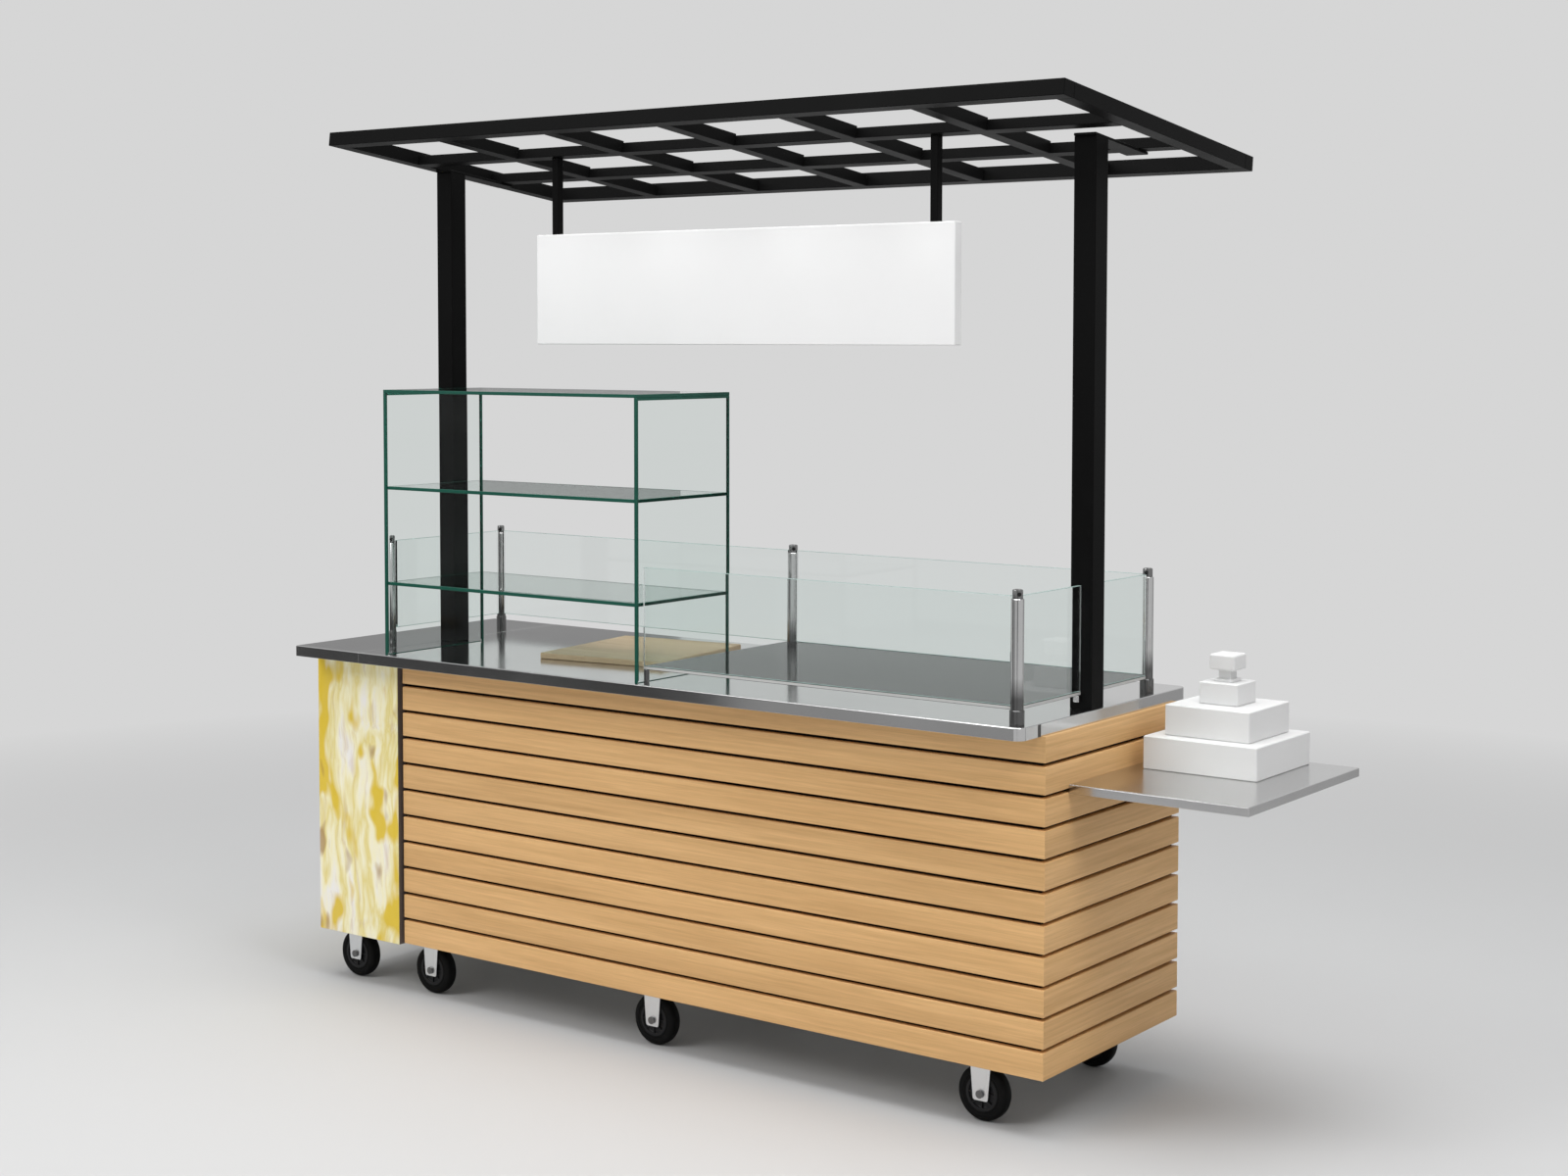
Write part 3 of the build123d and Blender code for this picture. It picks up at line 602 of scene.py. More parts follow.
class CREPECART_PG_stage(bpy.types.PropertyGroup):
    """Floor, lamps and camera."""

    backdrop: shade("Backdrop", (0.672, 0.672, 0.672), "Colour seen behind the cart")
    floor: shade("Floor", (0.545, 0.548, 0.552), "Colour of the floor near the cart")
    ambient: amount("Ambient", 0.40, "Strength of the even light", min=0)
    key: amount("Key", 140, "Power of the main lamp", min=0, unit="POWER")
    top: amount("Top", 240, "Power of the lamp above", min=0, unit="POWER")
    side: amount("Side", 70, "Power of the lamp at the right", min=0, unit="POWER")
    lens: amount("Lens", 53.903, "Focal length on a 36 mm wide sensor", min=1, unit="CAMERA")
    shift: amount("Shift", -0.0738, "Vertical shift of the frame")
    camera_place: FloatVectorProperty(
        name="Camera place",
        description="Where the camera stands",
        default=(3.3761, -4.5466, 1.7049),
        size=3,
        subtype="TRANSLATION",
        unit="LENGTH",
    )
    camera_turn: FloatVectorProperty(
        name="Camera turn",
        description="Yaw, pitch below the horizon and roll",
        default=(radians(36.59), radians(3.23), radians(0.07)),
        size=3,
        unit="ROTATION",
    )


# Geometry Nodes trees


def grown(tree, material, values, place):
    """Run a tree on an empty mesh and give the result as a bmesh in its place."""
    carrier = bpy.data.objects.new("carrier", bpy.data.meshes.new("carrier"))
    bpy.context.scene.collection.objects.link(carrier)
    modifier = carrier.modifiers.new("tree", "NODES")
    modifier.node_group = tree
    values = {"Material": finishes[material], **values}
    for item in tree.interface.items_tree:
        if item.name in values:
            modifier[item.identifier] = values[item.name]
    carrier.update_tag()
    depsgraph = bpy.context.evaluated_depsgraph_get()
    mesh = bpy.data.meshes.new_from_object(carrier.evaluated_get(depsgraph))
    bpy.data.objects.remove(carrier)
    mesh.transform(place)
    bm = bmesh.new()
    bm.from_mesh(mesh)
    bpy.data.meshes.remove(mesh)
    bmesh.ops.remove_doubles(bm, verts=bm.verts, dist=1e-6)
    # The tree's mesh has an empty first slot, which the piece goes without
    for face in bm.faces:
        face.material_index = 0
    return bm


def geometry_tree(name, numbers):
    """A Geometry Nodes tree that is given a count, a seed, a material and named numbers."""
    given = {"Count": WHOLE, "Seed": WHOLE, "Material": MATERIAL}
    given.update(dict.fromkeys(numbers, NUMBER))
    return new_tree(name, "GeometryNodeTree", given, {"Geometry": GEOMETRY})


def end_tree(tree, geometry, material, result):
    """Finish a tree as plain faces of one material."""
    painted = add_node(tree, "GeometryNodeSetMaterial", Geometry=geometry, Material=material)
    feed(result, Geometry=painted)


def slat_tree():
    """Slats stacked at a pitch, rounded along, mitred at their ends, each with its own tone."""
    numbers = ("Pitch", "Height", "Thickness", "Length", "Edge")
    numbers += ("Start mitre", "End mitre", "Ceiling")
    tree, given, result = geometry_tree("slats", numbers)
    length, thickness, height = given["Length"], given["Thickness"], given["Height"]
    end = add_node(tree, "ShaderNodeCombineXYZ", X=length)
    line = add_node(tree, "GeometryNodeCurvePrimitiveLine", End=end)
    profile = add_node(
        tree, "GeometryNodeCurvePrimitiveQuadrilateral", Width=thickness, Height=height
    )
    fillet = {"mode": "POLY"}
    profile = add_node(
        tree, "GeometryNodeFilletCurve", fillet, Curve=profile, Count=4, Radius=given["Edge"]
    )
    slat = add_node(
        tree, "GeometryNodeCurveToMesh", Curve=line, Profile_Curve=profile, Fill_Caps=True
    )
    depth, rise = maths(tree, "MULTIPLY", thickness, 0.5), maths(tree, "MULTIPLY", height, 0.5)
    corner = add_node(tree, "ShaderNodeCombineXYZ", Y=depth, Z=rise)
    seated = add_node(tree, "GeometryNodeTransform", Geometry=slat, Translation=corner)
    step = add_node(tree, "ShaderNodeCombineXYZ", Z=given["Pitch"])
    points = add_node(tree, "GeometryNodeMeshLine", Count=given["Count"], Offset=step)
    copies = add_node(tree, "GeometryNodeInstanceOnPoints", Points=points, Instance=seated)
    chance = {"data_type": "FLOAT"}
    tone = add_node(tree, "FunctionNodeRandomValue", chance, Seed=given["Seed"]).outputs[1]
    per_slat = {"data_type": "FLOAT", "domain": "INSTANCE"}
    named = add_node(tree, "GeometryNodeStoreNamedAttribute", per_slat, Geometry=copies)
    feed(named, Name=SLAT_TONE, Value=tone)
    real = add_node(tree, "GeometryNodeRealizeInstances", Geometry=named)
    place = add_node(tree, "GeometryNodeInputPosition")
    x, y, z = add_node(tree, "ShaderNodeSeparateXYZ", Vector=place).outputs
    at_end = maths(tree, "GREATER_THAN", x, maths(tree, "MULTIPLY", length, 0.5))
    at_start = maths(tree, "SUBTRACT", 1.0, at_end)
    pull = maths(tree, "MULTIPLY", y, given["Start mitre"])
    push = maths(tree, "MULTIPLY", y, given["End mitre"])
    pull, push = maths(tree, "MULTIPLY", pull, at_start), maths(tree, "MULTIPLY", push, at_end)
    new_x = maths(tree, "ADD", x, maths(tree, "SUBTRACT", pull, push))
    new_z = maths(tree, "MINIMUM", z, given["Ceiling"])
    target = add_node(tree, "ShaderNodeCombineXYZ", X=new_x, Y=y, Z=new_z)
    cut = add_node(tree, "GeometryNodeSetPosition", Geometry=real, Position=target)
    end_tree(tree, cut, given["Material"], result)
    return tree


def spoke_tree():
    """Ribs set round a hub."""
    tree, given, result = geometry_tree("hub ribs", ("Inner", "Outer", "Thick", "Wide"))
    inner, outer = given["Inner"], given["Outer"]
    length = maths(tree, "SUBTRACT", outer, inner)
    size = add_node(tree, "ShaderNodeCombineXYZ", X=length, Y=given["Thick"], Z=given["Wide"])
    rib = add_node(tree, "GeometryNodeMeshCube", Size=size)
    middle = maths(tree, "MULTIPLY", maths(tree, "ADD", outer, inner), 0.5)
    ring = {"fill_type": "NONE"}
    circle = add_node(tree, "GeometryNodeMeshCircle", ring, Vertices=given["Count"], Radius=middle)
    place = add_node(tree, "GeometryNodeInputPosition")
    facing = add_node(tree, "FunctionNodeAlignRotationToVector", {"axis": "X"}, Vector=place)
    copies = add_node(
        tree, "GeometryNodeInstanceOnPoints", Points=circle, Instance=rib, Rotation=facing
    )
    real = add_node(tree, "GeometryNodeRealizeInstances", Geometry=copies)
    end_tree(tree, real, given["Material"], result)
    return tree


# Operators, one for each piece or group of like pieces


class CREPECART_OT_finishes(bpy.types.Operator):
    """Make the materials that the pieces wear"""

    bl_idname = "crepe_cart.finishes"
    bl_label = "Finishes"

    def execute(self, context):
        scene = context.scene
        wood, metal = scene.cart_wood, scene.cart_metal
        glass, whites = scene.cart_glass, scene.cart_whites
        shared["grain"] = make_grain_group()
        shared["polish"] = make_polish_group()
        shared["coat"] = make_coat_group()
        light, dark = wood.slat_light, wood.slat_dark
        wood_finish("slat_wood_front", light, dark, toned=True)
        wood_finish("slat_wood_end", light, dark, across=True, toned=True)
        wood_finish("serving_wood", wood.board_light, wood.board_dark)
        wood_finish("rear_laminate", (0.52, 0.325, 0.165), (0.43, 0.255, 0.12), contrast=0.8)
        rough = metal.steel_roughness
        # The guard posts' chrome takes a painted reflection of the dark plate: it turns to the
        # feet's colour from 1.0 m down to 0.955 m
        foot = (0.955, 1.0, metal.feet)
        # Name, colour, roughness and its spread, depth of the brushed lines, painted reflection
        # that darkens the foot
        for row in (
            ("worktop_steel", metal.steel, rough, 0.035),
            ("shelf_steel", metal.shelf, rough + 0.08, 0.035),
            ("guard_chrome", metal.chrome, 0.16, 0.03, 0.0, foot),
            ("clip_chrome", metal.chrome, 0.16, 0.03, 0.0),
            ("cap_metal", metal.caps, 0.26, 0.03, 0.0),
            ("foot_metal", metal.feet, 0.2, 0.03, 0.0),
            ("zinc_plate", metal.zinc, 0.3, 0.06),
            ("track_aluminium", (0.62, 0.62, 0.63), 0.34, 0.05),
            # Bolt heads darkened as painted shade, so a dark ring shows on each fork leg
            ("bolt_steel", (0.16, 0.16, 0.16), 0.3, 0.05),
        ):
            metal_finish(*row)
        # Name, colour, roughness, grain and its depth, specular level, drift of the tone
        for row in (
            # The dark plate's near-black top is painted shade
            ("hot_plate", metal.plate, 0.07, 260.0, 0.0, 0.08, 0.1),
            # The plate's pale sides are a painted reflection of the bright backdrop
            ("plate_side", metal.plate_side, 0.4, 400.0, 0.05),
            ("black_coat", metal.black, 0.42, 1500.0, 0.14, 0.03),
            ("dark_fitting", (0.012, 0.012, 0.012), 0.35, 900.0, 0.1, 0.2),
            ("seam_filler", (0.07, 0.07, 0.068), 0.5, 900.0, 0.1, 0.2),
            ("dark_laminate", (0.007, 0.006, 0.005), 0.6, 300.0, 0.15, 0.1),
            ("grey_laminate", (0.56, 0.55, 0.52), 0.5, 260.0, 0.1),
            ("bay_edge", (0.13, 0.105, 0.095), 0.4, 400.0, 0.05),
            ("sign_paint", whites.sign, 0.55, 600.0, 0.05, None, 0.015),
            ("block_paint", whites.blocks, 0.38, 500.0, 0.05, None, 0.015),
            ("case_glass_edge", glass.case_edge, 0.3, 200.0, 0.03, 0.2),
            ("guard_glass_edge", glass.guard_edge, 0.3, 200.0, 0.03, 0.2),
            ("hub_moulding", (0.013, 0.013, 0.014), 0.36, 500.0, 0.15, 0.2),
        ):
            coated_finish(*row)
        glass_finish("case_glass", glass.case_tint, 1.16)
        glass_finish("shelf_glass", glass.shelf_tint, 1.3)
        glass_finish("guard_glass", glass.guard_tint, 1.3)
        print_finish(scene.cart_print)
        rubber_finish()
        return {"FINISHED"}


class CREPECART_OT_worktop(bpy.types.Operator):
    """Polished worktop in two lengths, with the dark seam that shows in its right end"""

    bl_idname = "crepe_cart.worktop"
    bl_label = "Worktop"

    def execute(self, context):
        for node in ("worktop_main", "worktop_left"):
            rounded(node, 0.0006, "worktop_steel")
        low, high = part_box("worktop_main")
        seam_back, seam_width, sunk, proud, lift = 0.0695, 0.013, 0.001, 0.0003, 0.0004
        y = low.y + seam_back
        near = (high.x - sunk, y, low.z + lift)
        far = (high.x + proud, y + seam_width, high.z - sunk)
        strip("worktop_corner_lap", "worktop_main", near, far, "seam_filler", 0.0003)
        return {"FINISHED"}


class CREPECART_OT_plate_shade(bpy.types.Operator):
    """Dark plate held on the feet of the guard posts; its near-black top is painted shade on the
    worktop inside the guard
    """

    bl_idname = "crepe_cart.griddle"
    bl_label = "Plate shade"

    def execute(self, context):
        plate = rounded("griddle_plate", 0.0008, "hot_plate", "plate_side")
        # The sides take the pale painted reflection
        for face in plate.data.polygons:
            if abs(face.normal.z) < 0.5:
                face.material_index = 1
        # The plate stands for shade, so it shows in no mirror and casts no shadow
        plate.visible_glossy = False
        plate.visible_shadow = False
        return {"FINISHED"}


class CREPECART_OT_slats(bpy.types.Operator):
    """Rows of wooden slats across the front and the right end"""

    bl_idname = "crepe_cart.slats"
    bl_label = "Slats"

    def execute(self, context):
        wood = context.scene.cart_wood
        tree = slat_tree()
        for node, material, seed in (
            ("front_slats", "slat_wood_front", 3),
            ("end_slats", "slat_wood_end", 11),
        ):
            low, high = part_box(node)
            size = high - low
            front = node == "front_slats"
            place = Matrix.Translation(low)
            if not front:
                corner = Vector((high.x, low.y, low.z))
                place = Matrix.Translation(corner) @ Matrix.Rotation(radians(90), 4, "Z")
            values = {
                "Count": wood.slat_count,
                "Pitch": wood.slat_pitch,
                "Height": wood.slat_height,
                "Edge": wood.slat_edge,
                "Length": size.x if front else size.y,
                "Thickness": size.y if front else size.x,
                "Start mitre": 0.0 if front else 1.0,
                "End mitre": 1.0 if front else 0.0,
                "Ceiling": size.z,
                "Seed": seed,
            }
            finished(grown(tree, material, values, place), node, material)
        return {"FINISHED"}


class CREPECART_OT_bay(bpy.types.Operator):
    """Printed bay at the left, with the dark edge that parts it from the slats"""

    bl_idname = "crepe_cart.bay"
    bl_label = "Printed bay"

    def execute(self, context):
        for node in ("bay_front_panel", "bay_end_panel"):
            rounded(node, 0.0012, "bay_print")
        low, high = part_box("bay_front_panel")
        inside, outside, back = 0.0012, 0.0008, 0.0004
        near = (high.x - inside, low.y + back, low.z)
        far = (high.x + outside, high.y, high.z)
        strip("bay_edge_trim", "bay_front_panel", near, far, "bay_edge", 0.0005)
        return {"FINISHED"}


class CREPECART_OT_boards(bpy.types.Operator):
    """Boards of the cabinet, its floor, shelves and rails"""

    bl_idname = "crepe_cart.boards"
    bl_label = "Cabinet boards"

    def execute(self, context):
        for node in ("front_board", "right_end_board", "bay_divider"):
            rounded(node, 0.0006, "dark_laminate", segments=1)
        for node in ("cabinet_floor", "centre_divider", "top_rails", "inner_shelves"):
            rounded(node, 0.0008, "grey_laminate")
        rounded("bay_back_panel", 0.0008, "rear_laminate")
        return {"FINISHED"}


class CREPECART_OT_doors(bpy.types.Operator):
    """Sliding rear doors with lined finger pulls, and their tracks"""

    bl_idname = "crepe_cart.doors"
    bl_label = "Rear doors"

    def execute(self, context):
        inset = 0.07
        cup = (
            (0, -0.0076),
            (0.0243, -0.0076),
            (0.0248, -0.0066),
            (0.0248, -0.0004),
            (0.0272, -0.0002),
            (0.0276, 0.0004),
            (0.0268, 0.0006),
            (0.0242, 0.0004),
            (0.0236, -0.006),
            (0, -0.0062),
        )
        for node in ("rear_door_left", "rear_door_right"):
            rounded(node, 0.0008, "rear_laminate")
            low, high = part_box(node)
            x = low.x + inset if node == "rear_door_left" else high.x - inset
            bm = bmesh.new()
            add_turned(bm, cup, along_y(x, high.y, (low.z + high.z) / 2), segments=56)
            goes_with(piece_from(bm, f"{node}_pull", "track_aluminium"), node)
        rounded("door_tracks", 0.0004, "track_aluminium", segments=1)
        return {"FINISHED"}


class CREPECART_OT_serving_board(bpy.types.Operator):
    """Loose wooden board on the worktop"""

    bl_idname = "crepe_cart.serving_board"
    bl_label = "Serving board"

    def execute(self, context):
        rounded("serving_board", 0.003, "serving_wood", segments=3)
        return {"FINISHED"}


def glass_piece(node, face_material, edge_material, arris, band=0.0, end_material=None):
    """Panes with clear broad faces, and the edge's or the end's material on narrow ones."""
    bm = tidy_copy(node)
    bmesh.ops.bevel(
        bm, geom=list(bm.edges), offset=arris, segments=1, affect="EDGES", clamp_overlap=True
    )
    low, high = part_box(node)
    thickest, broad_share = 0.02, 0.2
    stands = high.z - low.z > 2 * arris + thickest
    largest = max(face.calc_area() for face in bm.faces)
    broad = [face for face in bm.faces if face.calc_area() > largest * broad_share]
    for face in bm.faces:
        face.material_index = 1
    if band:
        foot = min(v.co.z for v in bm.verts) + band
        ring = bmesh.ops.inset_individual(bm, faces=broad, thickness=band)["faces"]
        broad += [face for face in ring if face.calc_center_median().z < foot and stands]
    for face in broad:
        face.material_index = 0
    materials = [face_material, edge_material]
    if end_material:
        materials.append(end_material)
        for face in bm.faces:
            if face.material_index == 1 and abs(face.normal.z) < 0.3:
                face.material_index = 2
    finished(bm, node, *materials, angle=20)


class CREPECART_OT_case(bpy.types.Operator):
    """Glass display case with green edges"""

    bl_idname = "crepe_cart.case"
    bl_label = "Display case"

    def execute(self, context):
        glass = context.scene.cart_glass
        for node, material in (
            ("case_end_panes", "case_glass"),
            ("case_top_pane", "case_glass"),
            ("case_shelves", "shelf_glass"),
        ):
            glass_piece(node, material, "case_glass_edge", glass.arris, glass.band)
        return {"FINISHED"}


class CREPECART_OT_guard(bpy.types.Operator):
    """Glass guard on chromed posts"""

    bl_idname = "crepe_cart.guard"
    bl_label = "Glass guard"

    def execute(self, context):
        arris = context.scene.cart_glass.arris
        panes = ("guard_front_pane", "guard_end_panes", "guard_rear_panes", "guard_left_pane")
        for node in panes:
            glass_piece(node, "guard_glass", "guard_glass_edge", arris, 0.0, "guard_glass")
        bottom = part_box("guard_posts")[0].z
        cap_low, cap_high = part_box("guard_caps")
        end = cap_high.z
        radius, foot_radius, cad_cap = 0.014, 0.016, 0.0155
        cap_radius, cap_height = 0.0112, 0.020
        x_right, y_front = cap_high.x - cad_cap, cap_low.y + cad_cap
        x_left, y_rear = cap_low.x + cad_cap, cap_high.y - cad_cap
        stub_radius, gap, screw_sunk = 0.0065, 0.0004, 0.0006
        stub_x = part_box("guard_front_pane")[0].x + stub_radius
        x_middle = stub_x + 0.004
        y_left_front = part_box("guard_left_pane")[0].y - radius - gap
        foot_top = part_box("griddle_plate")[0].z
        # Each post's place, the way its screw faces and how thick it is against the widest
        places = (
            (x_right, y_front, 318, 1.0),
            (x_right, y_rear, 279, 1.0),
            (x_middle, y_rear, 312, 1.0),
            (x_left, y_rear, 300, 0.85),
            (x_left, y_left_front, 290, 0.62),
        )
        top = end - cap_height
        foot = (
            (0, bottom),
            (foot_radius - 0.0006, bottom),
            (foot_radius, bottom + 0.0006),
            (foot_radius, foot_top - 0.001),
            (foot_radius - 0.001, foot_top),
            (radius, foot_top),
            (0, foot_top),
        )
        tube = rod(radius, foot_top, top, 0.001)
        cap = (
            (0, top),
            (cap_radius - 0.0012, top),
            (cap_radius, top + 0.0008),
            (cap_radius, end - 0.003),
            (cap_radius - 0.0009, end - 0.0009),
            (cap_radius - 0.003, end),
            (0.0052, end),
            (0.0046, end - 0.0016),
            (0, end - 0.0016),
        )
        screw = ((0, 0.0), (0.0046, 0.0), (0.0046, 0.0007), (0.0038, 0.0011), (0, 0.0011))
        posts, caps = bmesh.new(), bmesh.new()
        for x, y, facing, girth in places:
            slim = upright(x, y) @ Matrix.Diagonal((girth, girth, 1, 1))
            add_turned(posts, foot, slim, segments=64, slot=1)
            add_turned(posts, tube, slim, segments=64)
            add_turned(caps, cap, slim, segments=64)
            face = upright(x, y, (top + end) / 2) @ Matrix.Rotation(radians(facing), 4, "Z")
            face = face @ upright(cap_radius * girth - screw_sunk, 0)
            face = face @ Matrix.Rotation(radians(90), 4, "Y")
            add_turned(caps, screw, face, segments=24, slot=1)
        stub = rod(stub_radius, bottom, foot_top, 0.0006)
        add_turned(posts, stub, upright(stub_x, y_front), segments=40)
        finished(posts, "guard_posts", "guard_chrome", "foot_metal")
        finished(caps, "guard_caps", "cap_metal", "dark_fitting")
        rounded("pane_clips", 0.001, "clip_chrome")
        return {"FINISHED"}


def slimmer_bars(node, run, cut, side, reach, outer_stays):
    """Roof bars along one axis, lower and narrower than their solids, and longer to still meet."""
    middle = sum(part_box("roof_long_bars"), Vector()) / 2
    bm = tidy_copy(node)
    moves = {}
    for face in bm.faces:
        normal = face.normal
        axis = max(range(3), key=lambda k: abs(normal[k]))
        if axis == 2:
            push = -cut if normal.z > 0 else 0
        elif axis == run:
            push = reach
        else:
            outer = normal.dot(face.calc_center_median() - middle) > 0
            push = 0 if outer and outer_stays else -side
        for v in face.verts:
            moves[v, axis, normal[axis] > 0] = normal * push
    for (v, _axis, _facing), step in moves.items():
        v.co += step
    soften(finished(bm, node, "black_coat"), 0.0015)


class CREPECART_OT_canopy(bpy.types.Operator):
    """Canopy posts and the open grid roof in black powder coat"""

    bl_idname = "crepe_cart.canopy"
    bl_label = "Canopy"

    def execute(self, context):
        for node in ("canopy_post_left", "canopy_post_right"):
            rounded(node, 0.0025, "black_coat", segments=3)
        slim, low_long, low_cross = 0.010, 0.010, 0.005
        # Node, the axis it runs along, how much lower, narrower and longer, outer face kept
        for row in (
            ("roof_front_beam", 0, 0, slim, 0, True),
            ("roof_rear_beam", 0, 0, slim, 0, True),
            ("roof_end_beams", 1, 0, slim, slim, True),
            ("roof_long_bars", 0, low_long, slim / 2, slim, False),
            ("roof_cross_bars", 1, low_cross, slim / 2, slim, False),
        ):
            slimmer_bars(*row)
        rounded("canopy_head_plates", 0.0008, "black_coat", segments=1)
        return {"FINISHED"}


class CREPECART_OT_sign(bpy.types.Operator):
    """Blank sign board and its two hangers"""

    bl_idname = "crepe_cart.sign"
    bl_label = "Sign"

    def execute(self, context):
        rounded("sign_board", 0.001, "sign_paint")
        rounded("sign_hangers", 0.0015, "black_coat")
        return {"FINISHED"}


class CREPECART_OT_side_shelf(bpy.types.Operator):
    """Side shelf on its two arms"""

    bl_idname = "crepe_cart.side_shelf"
    bl_label = "Side shelf"

    def execute(self, context):
        rounded("side_shelf", 0.0012, "shelf_steel")
        rounded("shelf_arms", 0.0012, "black_coat")
        return {"FINISHED"}


class CREPECART_OT_blocks(bpy.types.Operator):
    """Stepped display blocks with the small box on top"""

    bl_idname = "crepe_cart.blocks"
    bl_label = "Display blocks"

    def execute(self, context):
        for node in ("tier_base", "tier_middle", "tier_upper"):
            rounded(node, 0.0018, "block_paint", segments=3)
        rounded("topper_box", 0.0015, "block_paint", segments=3)
        return {"FINISHED"}


def fork_piece(node):
    """A caster fork: legs that narrow towards the axle, with bolt heads darkened as painted shade.
    """
    axles = [sum(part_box(f"wheel_{k}"), Vector()) / 2 for k in range(1, 9)]
    foot, taper_height, least_width = 0.0475, 0.07, 0.78
    head_radius, head_inner = 0.0105, 0.0215
    bm = tidy_copy(node)

    def nearest(point):
        return min(axles, key=lambda axle: (axle.xy - point.xy).length)

    for v in bm.verts:
        axle = nearest(v.co)
        across = v.co.x - axle.x
        if abs(across) > head_radius:
            share = min(1, max(0, (v.co.z - foot) / taper_height))
            v.co.x = axle.x + across * (least_width + (1 - least_width) * share)
    # The bolt heads take a darker steel as painted shade, showing as a dark ring on each leg
    for face in bm.faces:
        away = face.calc_center_median()
        away -= nearest(away)
        if Vector((away.x, away.z)).length < head_radius and abs(away.y) > head_inner:
            face.material_index = 1
    soften(finished(bm, node, "zinc_plate", "bolt_steel"), 0.0008)


class CREPECART_OT_casters(bpy.types.Operator):
    """Caster plates, forks and bolts"""

    bl_idname = "crepe_cart.casters"
    bl_label = "Casters"

    def execute(self, context):
        rounded("caster_plates", 0.0008, "zinc_plate")
        fork_piece("rigid_caster_forks")
        for k in range(1, 5):
            fork_piece(f"swivel_fork_{k}")
        return {"FINISHED"}


class CREPECART_OT_wheels(bpy.types.Operator):
    """Rubber tyres on dark ribbed hubs"""

    bl_idname = "crepe_cart.wheels"
    bl_label = "Wheels"

    def execute(self, context):
        half = (
            (0.0402, -0.0160),
            (0.0430, -0.0160),
            (0.0438, -0.0152),
            (0.0462, -0.0152),
            (0.0470, -0.0160),
            (0.0530, -0.0160),
            (0.0575, -0.0146),
            (0.0602, -0.0120),
            (0.0618, -0.0082),
            (0.0624, -0.0040),
        )
        tyre = half + ((0.0625, 0.0),) + mirrored(half)
        hub_half = (
            (0.0052, -0.0160),
            (0.0142, -0.0160),
            (0.0150, -0.0152),
            (0.0154, -0.0118),
            (0.0310, -0.0112),
            (0.0322, -0.0120),
            (0.0328, -0.0154),
            (0.0334, -0.0160),
            (0.0396, -0.0160),
            (0.0400, -0.0156),
        )
        hub = hub_half + mirrored(hub_half)
        ribs = spoke_tree()
        rib_sizes = {"Count": 8, "Inner": 0.0148, "Outer": 0.0326, "Thick": 0.003, "Wide": 0.0296}
        for k in range(1, 9):
            node = f"wheel_{k}"
            place = along_y(*(sum(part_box(node), Vector()) / 2))
            bm = bmesh.new()
            add_turned(bm, tyre, place, segments=96, closed=True)
            add_turned(bm, hub, place, segments=72, slot=1, closed=True)
            finished(bm, node, "tyre_rubber", "hub_moulding")
            spokes = grown(ribs, "hub_moulding", rib_sizes, place)
            goes_with(piece_from(spokes, f"{node}_ribs", "hub_moulding"), node)
        return {"FINISHED"}


def lamp(name, place, aim, size, power):
    """A large soft lamp that faces a point."""
    data = bpy.data.lights.new(name, "AREA")
    data.shape = "RECTANGLE"
    data.size, data.size_y = size
    data.energy = power
    item = bpy.data.objects.new(name, data)
    item.location = place
    item.rotation_euler = (Vector(aim) - Vector(place)).to_track_quat("-Z", "Y").to_euler()
    item.visible_camera = False
    bpy.context.scene.collection.objects.link(item)


def card(name, centre, turn, size, level):
    """An upright card that only mirrors see, as in a photographer's studio."""
    bm = bmesh.new()
    wide, high = size
    place = Matrix.Translation(centre) @ Matrix.Rotation(radians(turn), 4, "Z")
    corners = [
        bm.verts.new(place @ Vector((x * wide / 2, 0, z * high / 2)))
        for x, z in ((-1, -1), (1, -1), (1, 1), (-1, 1))
    ]
    bm.faces.new(corners)
    tree, _ = new_material(name, (0, 0, 0), 1.0)
    surface(tree, add_node(tree, "ShaderNodeEmission", Color=(level, level, level)))
    item = piece_from(bm, name, name)
    for ray in ("camera", "diffuse", "transmission", "shadow"):
        setattr(item, f"visible_{ray}", False)


def studio_floor(stage):
    """A wide floor whose colour turns into the backdrop's far from the cart."""
    reach, fade_start, fade_end = 60.0, 2.2, 5.5
    bm = bmesh.new()
    bmesh.ops.create_grid(bm, x_segments=1, y_segments=1, size=reach)
    tree, shader = new_material("studio_floor", stage.floor, 0.75)
    point = object_point(tree)
    flat = stretch(tree, point, (1, 1, 0))
    distance = add_node(tree, "ShaderNodeVectorMath", {"operation": "LENGTH"}, Vector=flat)
    far = remap(tree, distance.outputs["Value"], fade_start, fade_end, 0, 1)
    grain = noise(tree, point, 1.2, 4.0, 0.5)
    feed(shader, Base_Color=blend_colours(tree, grain, dimmed(stage.floor, 0.99), stage.floor))
    glow = add_node(tree, "ShaderNodeEmission", Color=stage.backdrop)
    surface(tree, mix_shaders(tree, far, shader, glow))
    piece_from(bm, "studio_floor", "studio_floor")


def studio_world(stage):
    """Even light from all round, with the backdrop's colour where it is seen."""
    world = bpy.data.worlds.new("studio")
    world.use_nodes = True
    tree = world.node_tree
    even = tree.nodes["Background"]
    feed(even, Color=(1, 1, 1), Strength=stage.ambient)
    seen = add_node(tree, "ShaderNodeBackground", Color=stage.backdrop)
    ray = tree.nodes.new("ShaderNodeLightPath").outputs
    direct = maths(tree, "MAXIMUM", ray["Is Camera Ray"], ray["Is Glossy Ray"])
    direct = maths(tree, "MAXIMUM", direct, ray["Is Transmission Ray"])
    feed(tree.nodes["World Output"], Surface=mix_shaders(tree, direct, even, seen))
    return world


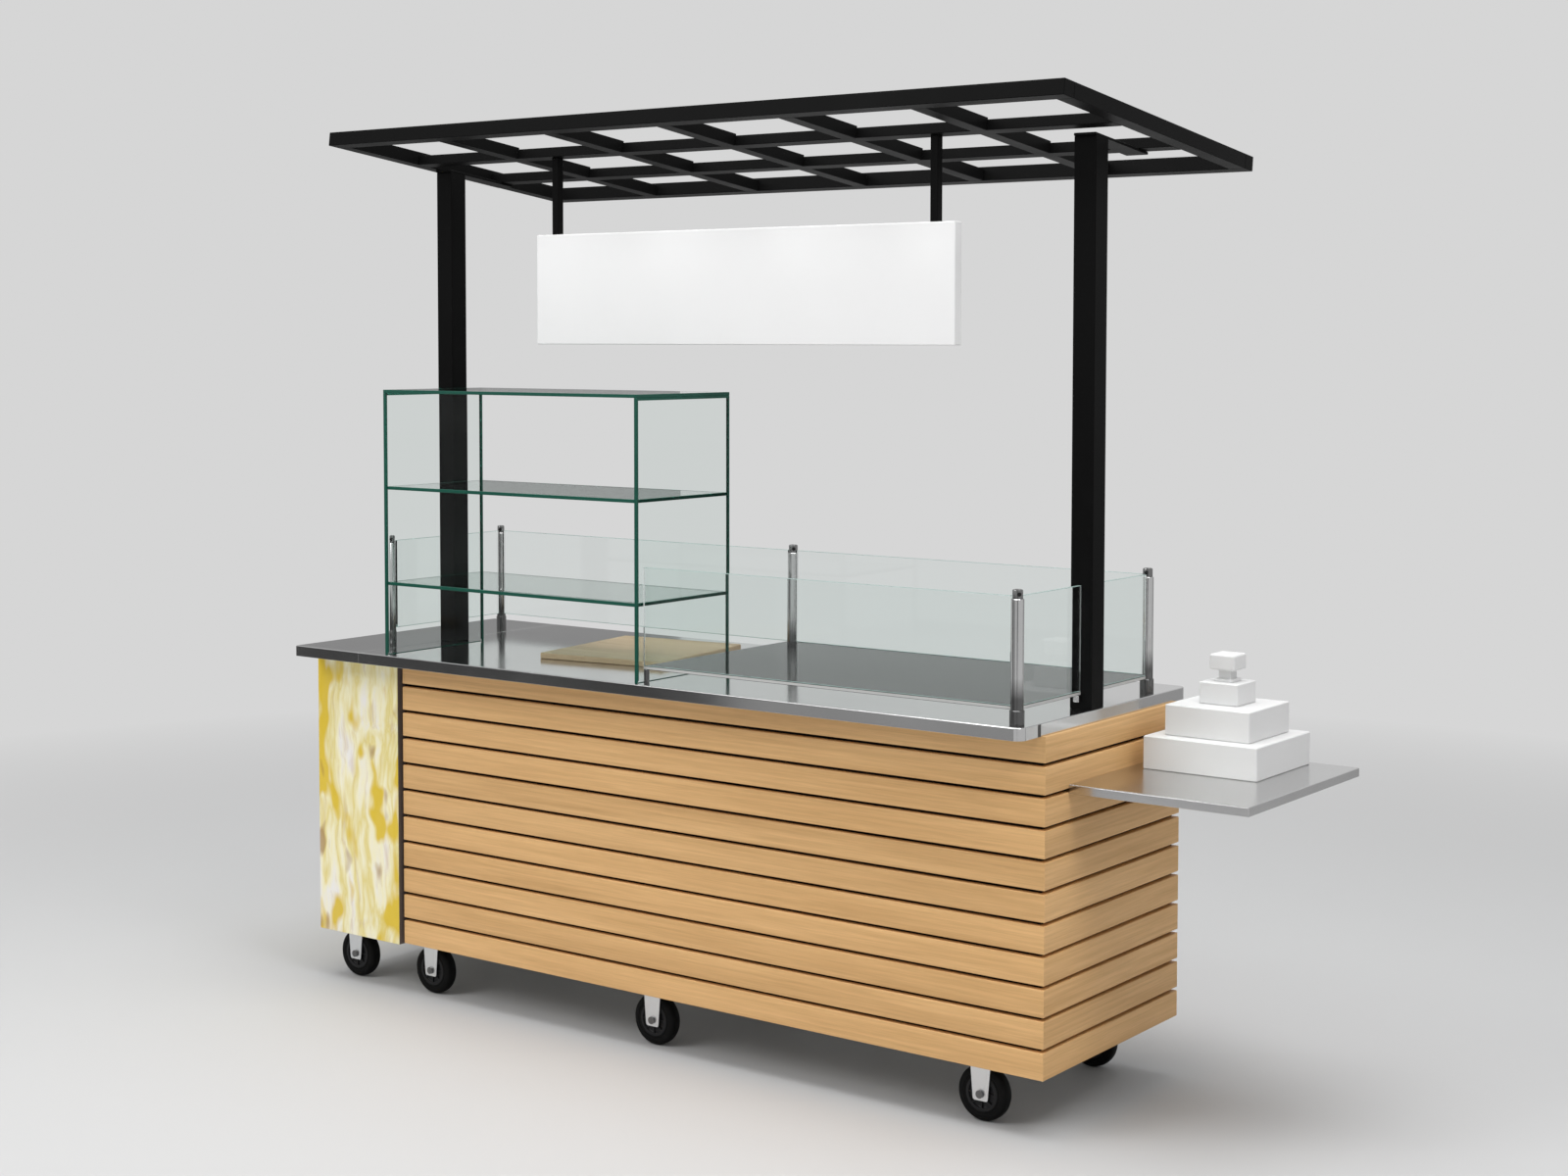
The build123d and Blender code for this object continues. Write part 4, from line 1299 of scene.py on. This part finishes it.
def studio_camera(stage):
    """The photograph's camera."""
    data = bpy.data.cameras.new("camera")
    data.sensor_width = 36
    data.sensor_fit = "HORIZONTAL"
    data.lens = stage.lens
    data.shift_y = stage.shift
    camera = bpy.data.objects.new("camera", data)
    yaw, pitch, roll = stage.camera_turn
    turn = Matrix.Rotation(yaw, 4, "Z")
    turn = turn @ Matrix.Rotation(radians(90) - pitch, 4, "X")
    turn = turn @ Matrix.Rotation(roll, 4, "Z")
    camera.matrix_world = Matrix.Translation(stage.camera_place) @ turn
    bpy.context.scene.collection.objects.link(camera)
    return camera


class CREPECART_OT_stage(bpy.types.Operator):
    """Floor, even studio light and the camera"""

    bl_idname = "crepe_cart.stage"
    bl_label = "Stage"

    def execute(self, context):
        scene = context.scene
        stage = scene.cart_stage
        studio_floor(stage)
        scene.world = studio_world(stage)
        # Name, place, the point it faces, size of its two sides, power
        for row in (
            ("key lamp", (-2.6, -4.6, 4.6), (0, 0, 0.8), (3.6, 3.0), stage.key),
            ("top lamp", (0.2, -0.4, 5.4), (0, 0, 1), (4.5, 3.5), stage.top),
            ("side lamp", (3.4, -1.2, 4.8), (0.9, 0, 0.6), (1.8, 1.8), stage.side),
        ):
            lamp(*row)
        # Name, centre, turn in degrees, width and height, brightness
        for row in (
            ("dark card at the left", (-4.6, -3.2, 0.6), 0, (5.4, 1.4), 0.07),
            ("middle card at the front", (-0.7, -3.2, 0.6), 0, (2.4, 1.4), 0.36),
            ("card behind at the right", (2.9, 2.8, 0.5), 0, (2.6, 1.6), 0.4),
            ("grey card behind", (-4.9, 2.8, 1.5), 0, (4.6, 1.7), 0.3),
            ("card by the camera", (4.1, -6.0, 1.6), 30, (2.6, 4.0), 0.16),
        ):
            card(*row)
        scene.camera = studio_camera(stage)
        scene.view_settings.view_transform = "Standard"
        return {"FINISHED"}


MAKERS = (
    CREPECART_OT_finishes,
    CREPECART_OT_worktop,
    CREPECART_OT_plate_shade,
    CREPECART_OT_slats,
    CREPECART_OT_bay,
    CREPECART_OT_boards,
    CREPECART_OT_doors,
    CREPECART_OT_serving_board,
    CREPECART_OT_case,
    CREPECART_OT_guard,
    CREPECART_OT_canopy,
    CREPECART_OT_sign,
    CREPECART_OT_side_shelf,
    CREPECART_OT_blocks,
    CREPECART_OT_casters,
    CREPECART_OT_wheels,
    CREPECART_OT_stage,
)


class CREPECART_PT_panel(bpy.types.Panel):
    """The cart's pieces, in the order in which they are made"""

    bl_label = "Crepe cart"
    bl_idname = "CREPECART_PT_panel"
    bl_space_type = "VIEW_3D"
    bl_region_type = "UI"
    bl_category = "Crepe cart"

    def draw(self, context):
        column = self.layout.column(align=True)
        for maker in MAKERS:
            column.operator(maker.bl_idname)
        for name in SETTINGS:
            box = self.layout.box()
            group = getattr(context.scene, name)
            for prop in group.__annotations__:
                box.prop(group, prop)


SETTINGS = {
    "cart_wood": CREPECART_PG_wood,
    "cart_metal": CREPECART_PG_metal,
    "cart_glass": CREPECART_PG_glass,
    "cart_print": CREPECART_PG_print,
    "cart_whites": CREPECART_PG_whites,
    "cart_stage": CREPECART_PG_stage,
}


def register():
    """Register the settings, the operators and the panel."""
    for name, group in SETTINGS.items():
        bpy.utils.register_class(group)
        setattr(bpy.types.Scene, name, PointerProperty(type=group))
    for item in (*MAKERS, CREPECART_PT_panel):
        bpy.utils.register_class(item)


def unregister():
    """Take them away again."""
    for item in (CREPECART_PT_panel, *reversed(MAKERS)):
        bpy.utils.unregister_class(item)
    for name, group in reversed(SETTINGS.items()):
        delattr(bpy.types.Scene, name)
        bpy.utils.unregister_class(group)


def main():
    """Make every piece."""
    register()
    for maker in MAKERS:
        _, call = maker.bl_idname.split(".")
        getattr(bpy.ops.crepe_cart, call)()
    bpy.context.view_layer.update()


if __name__ == "__main__":
    main()
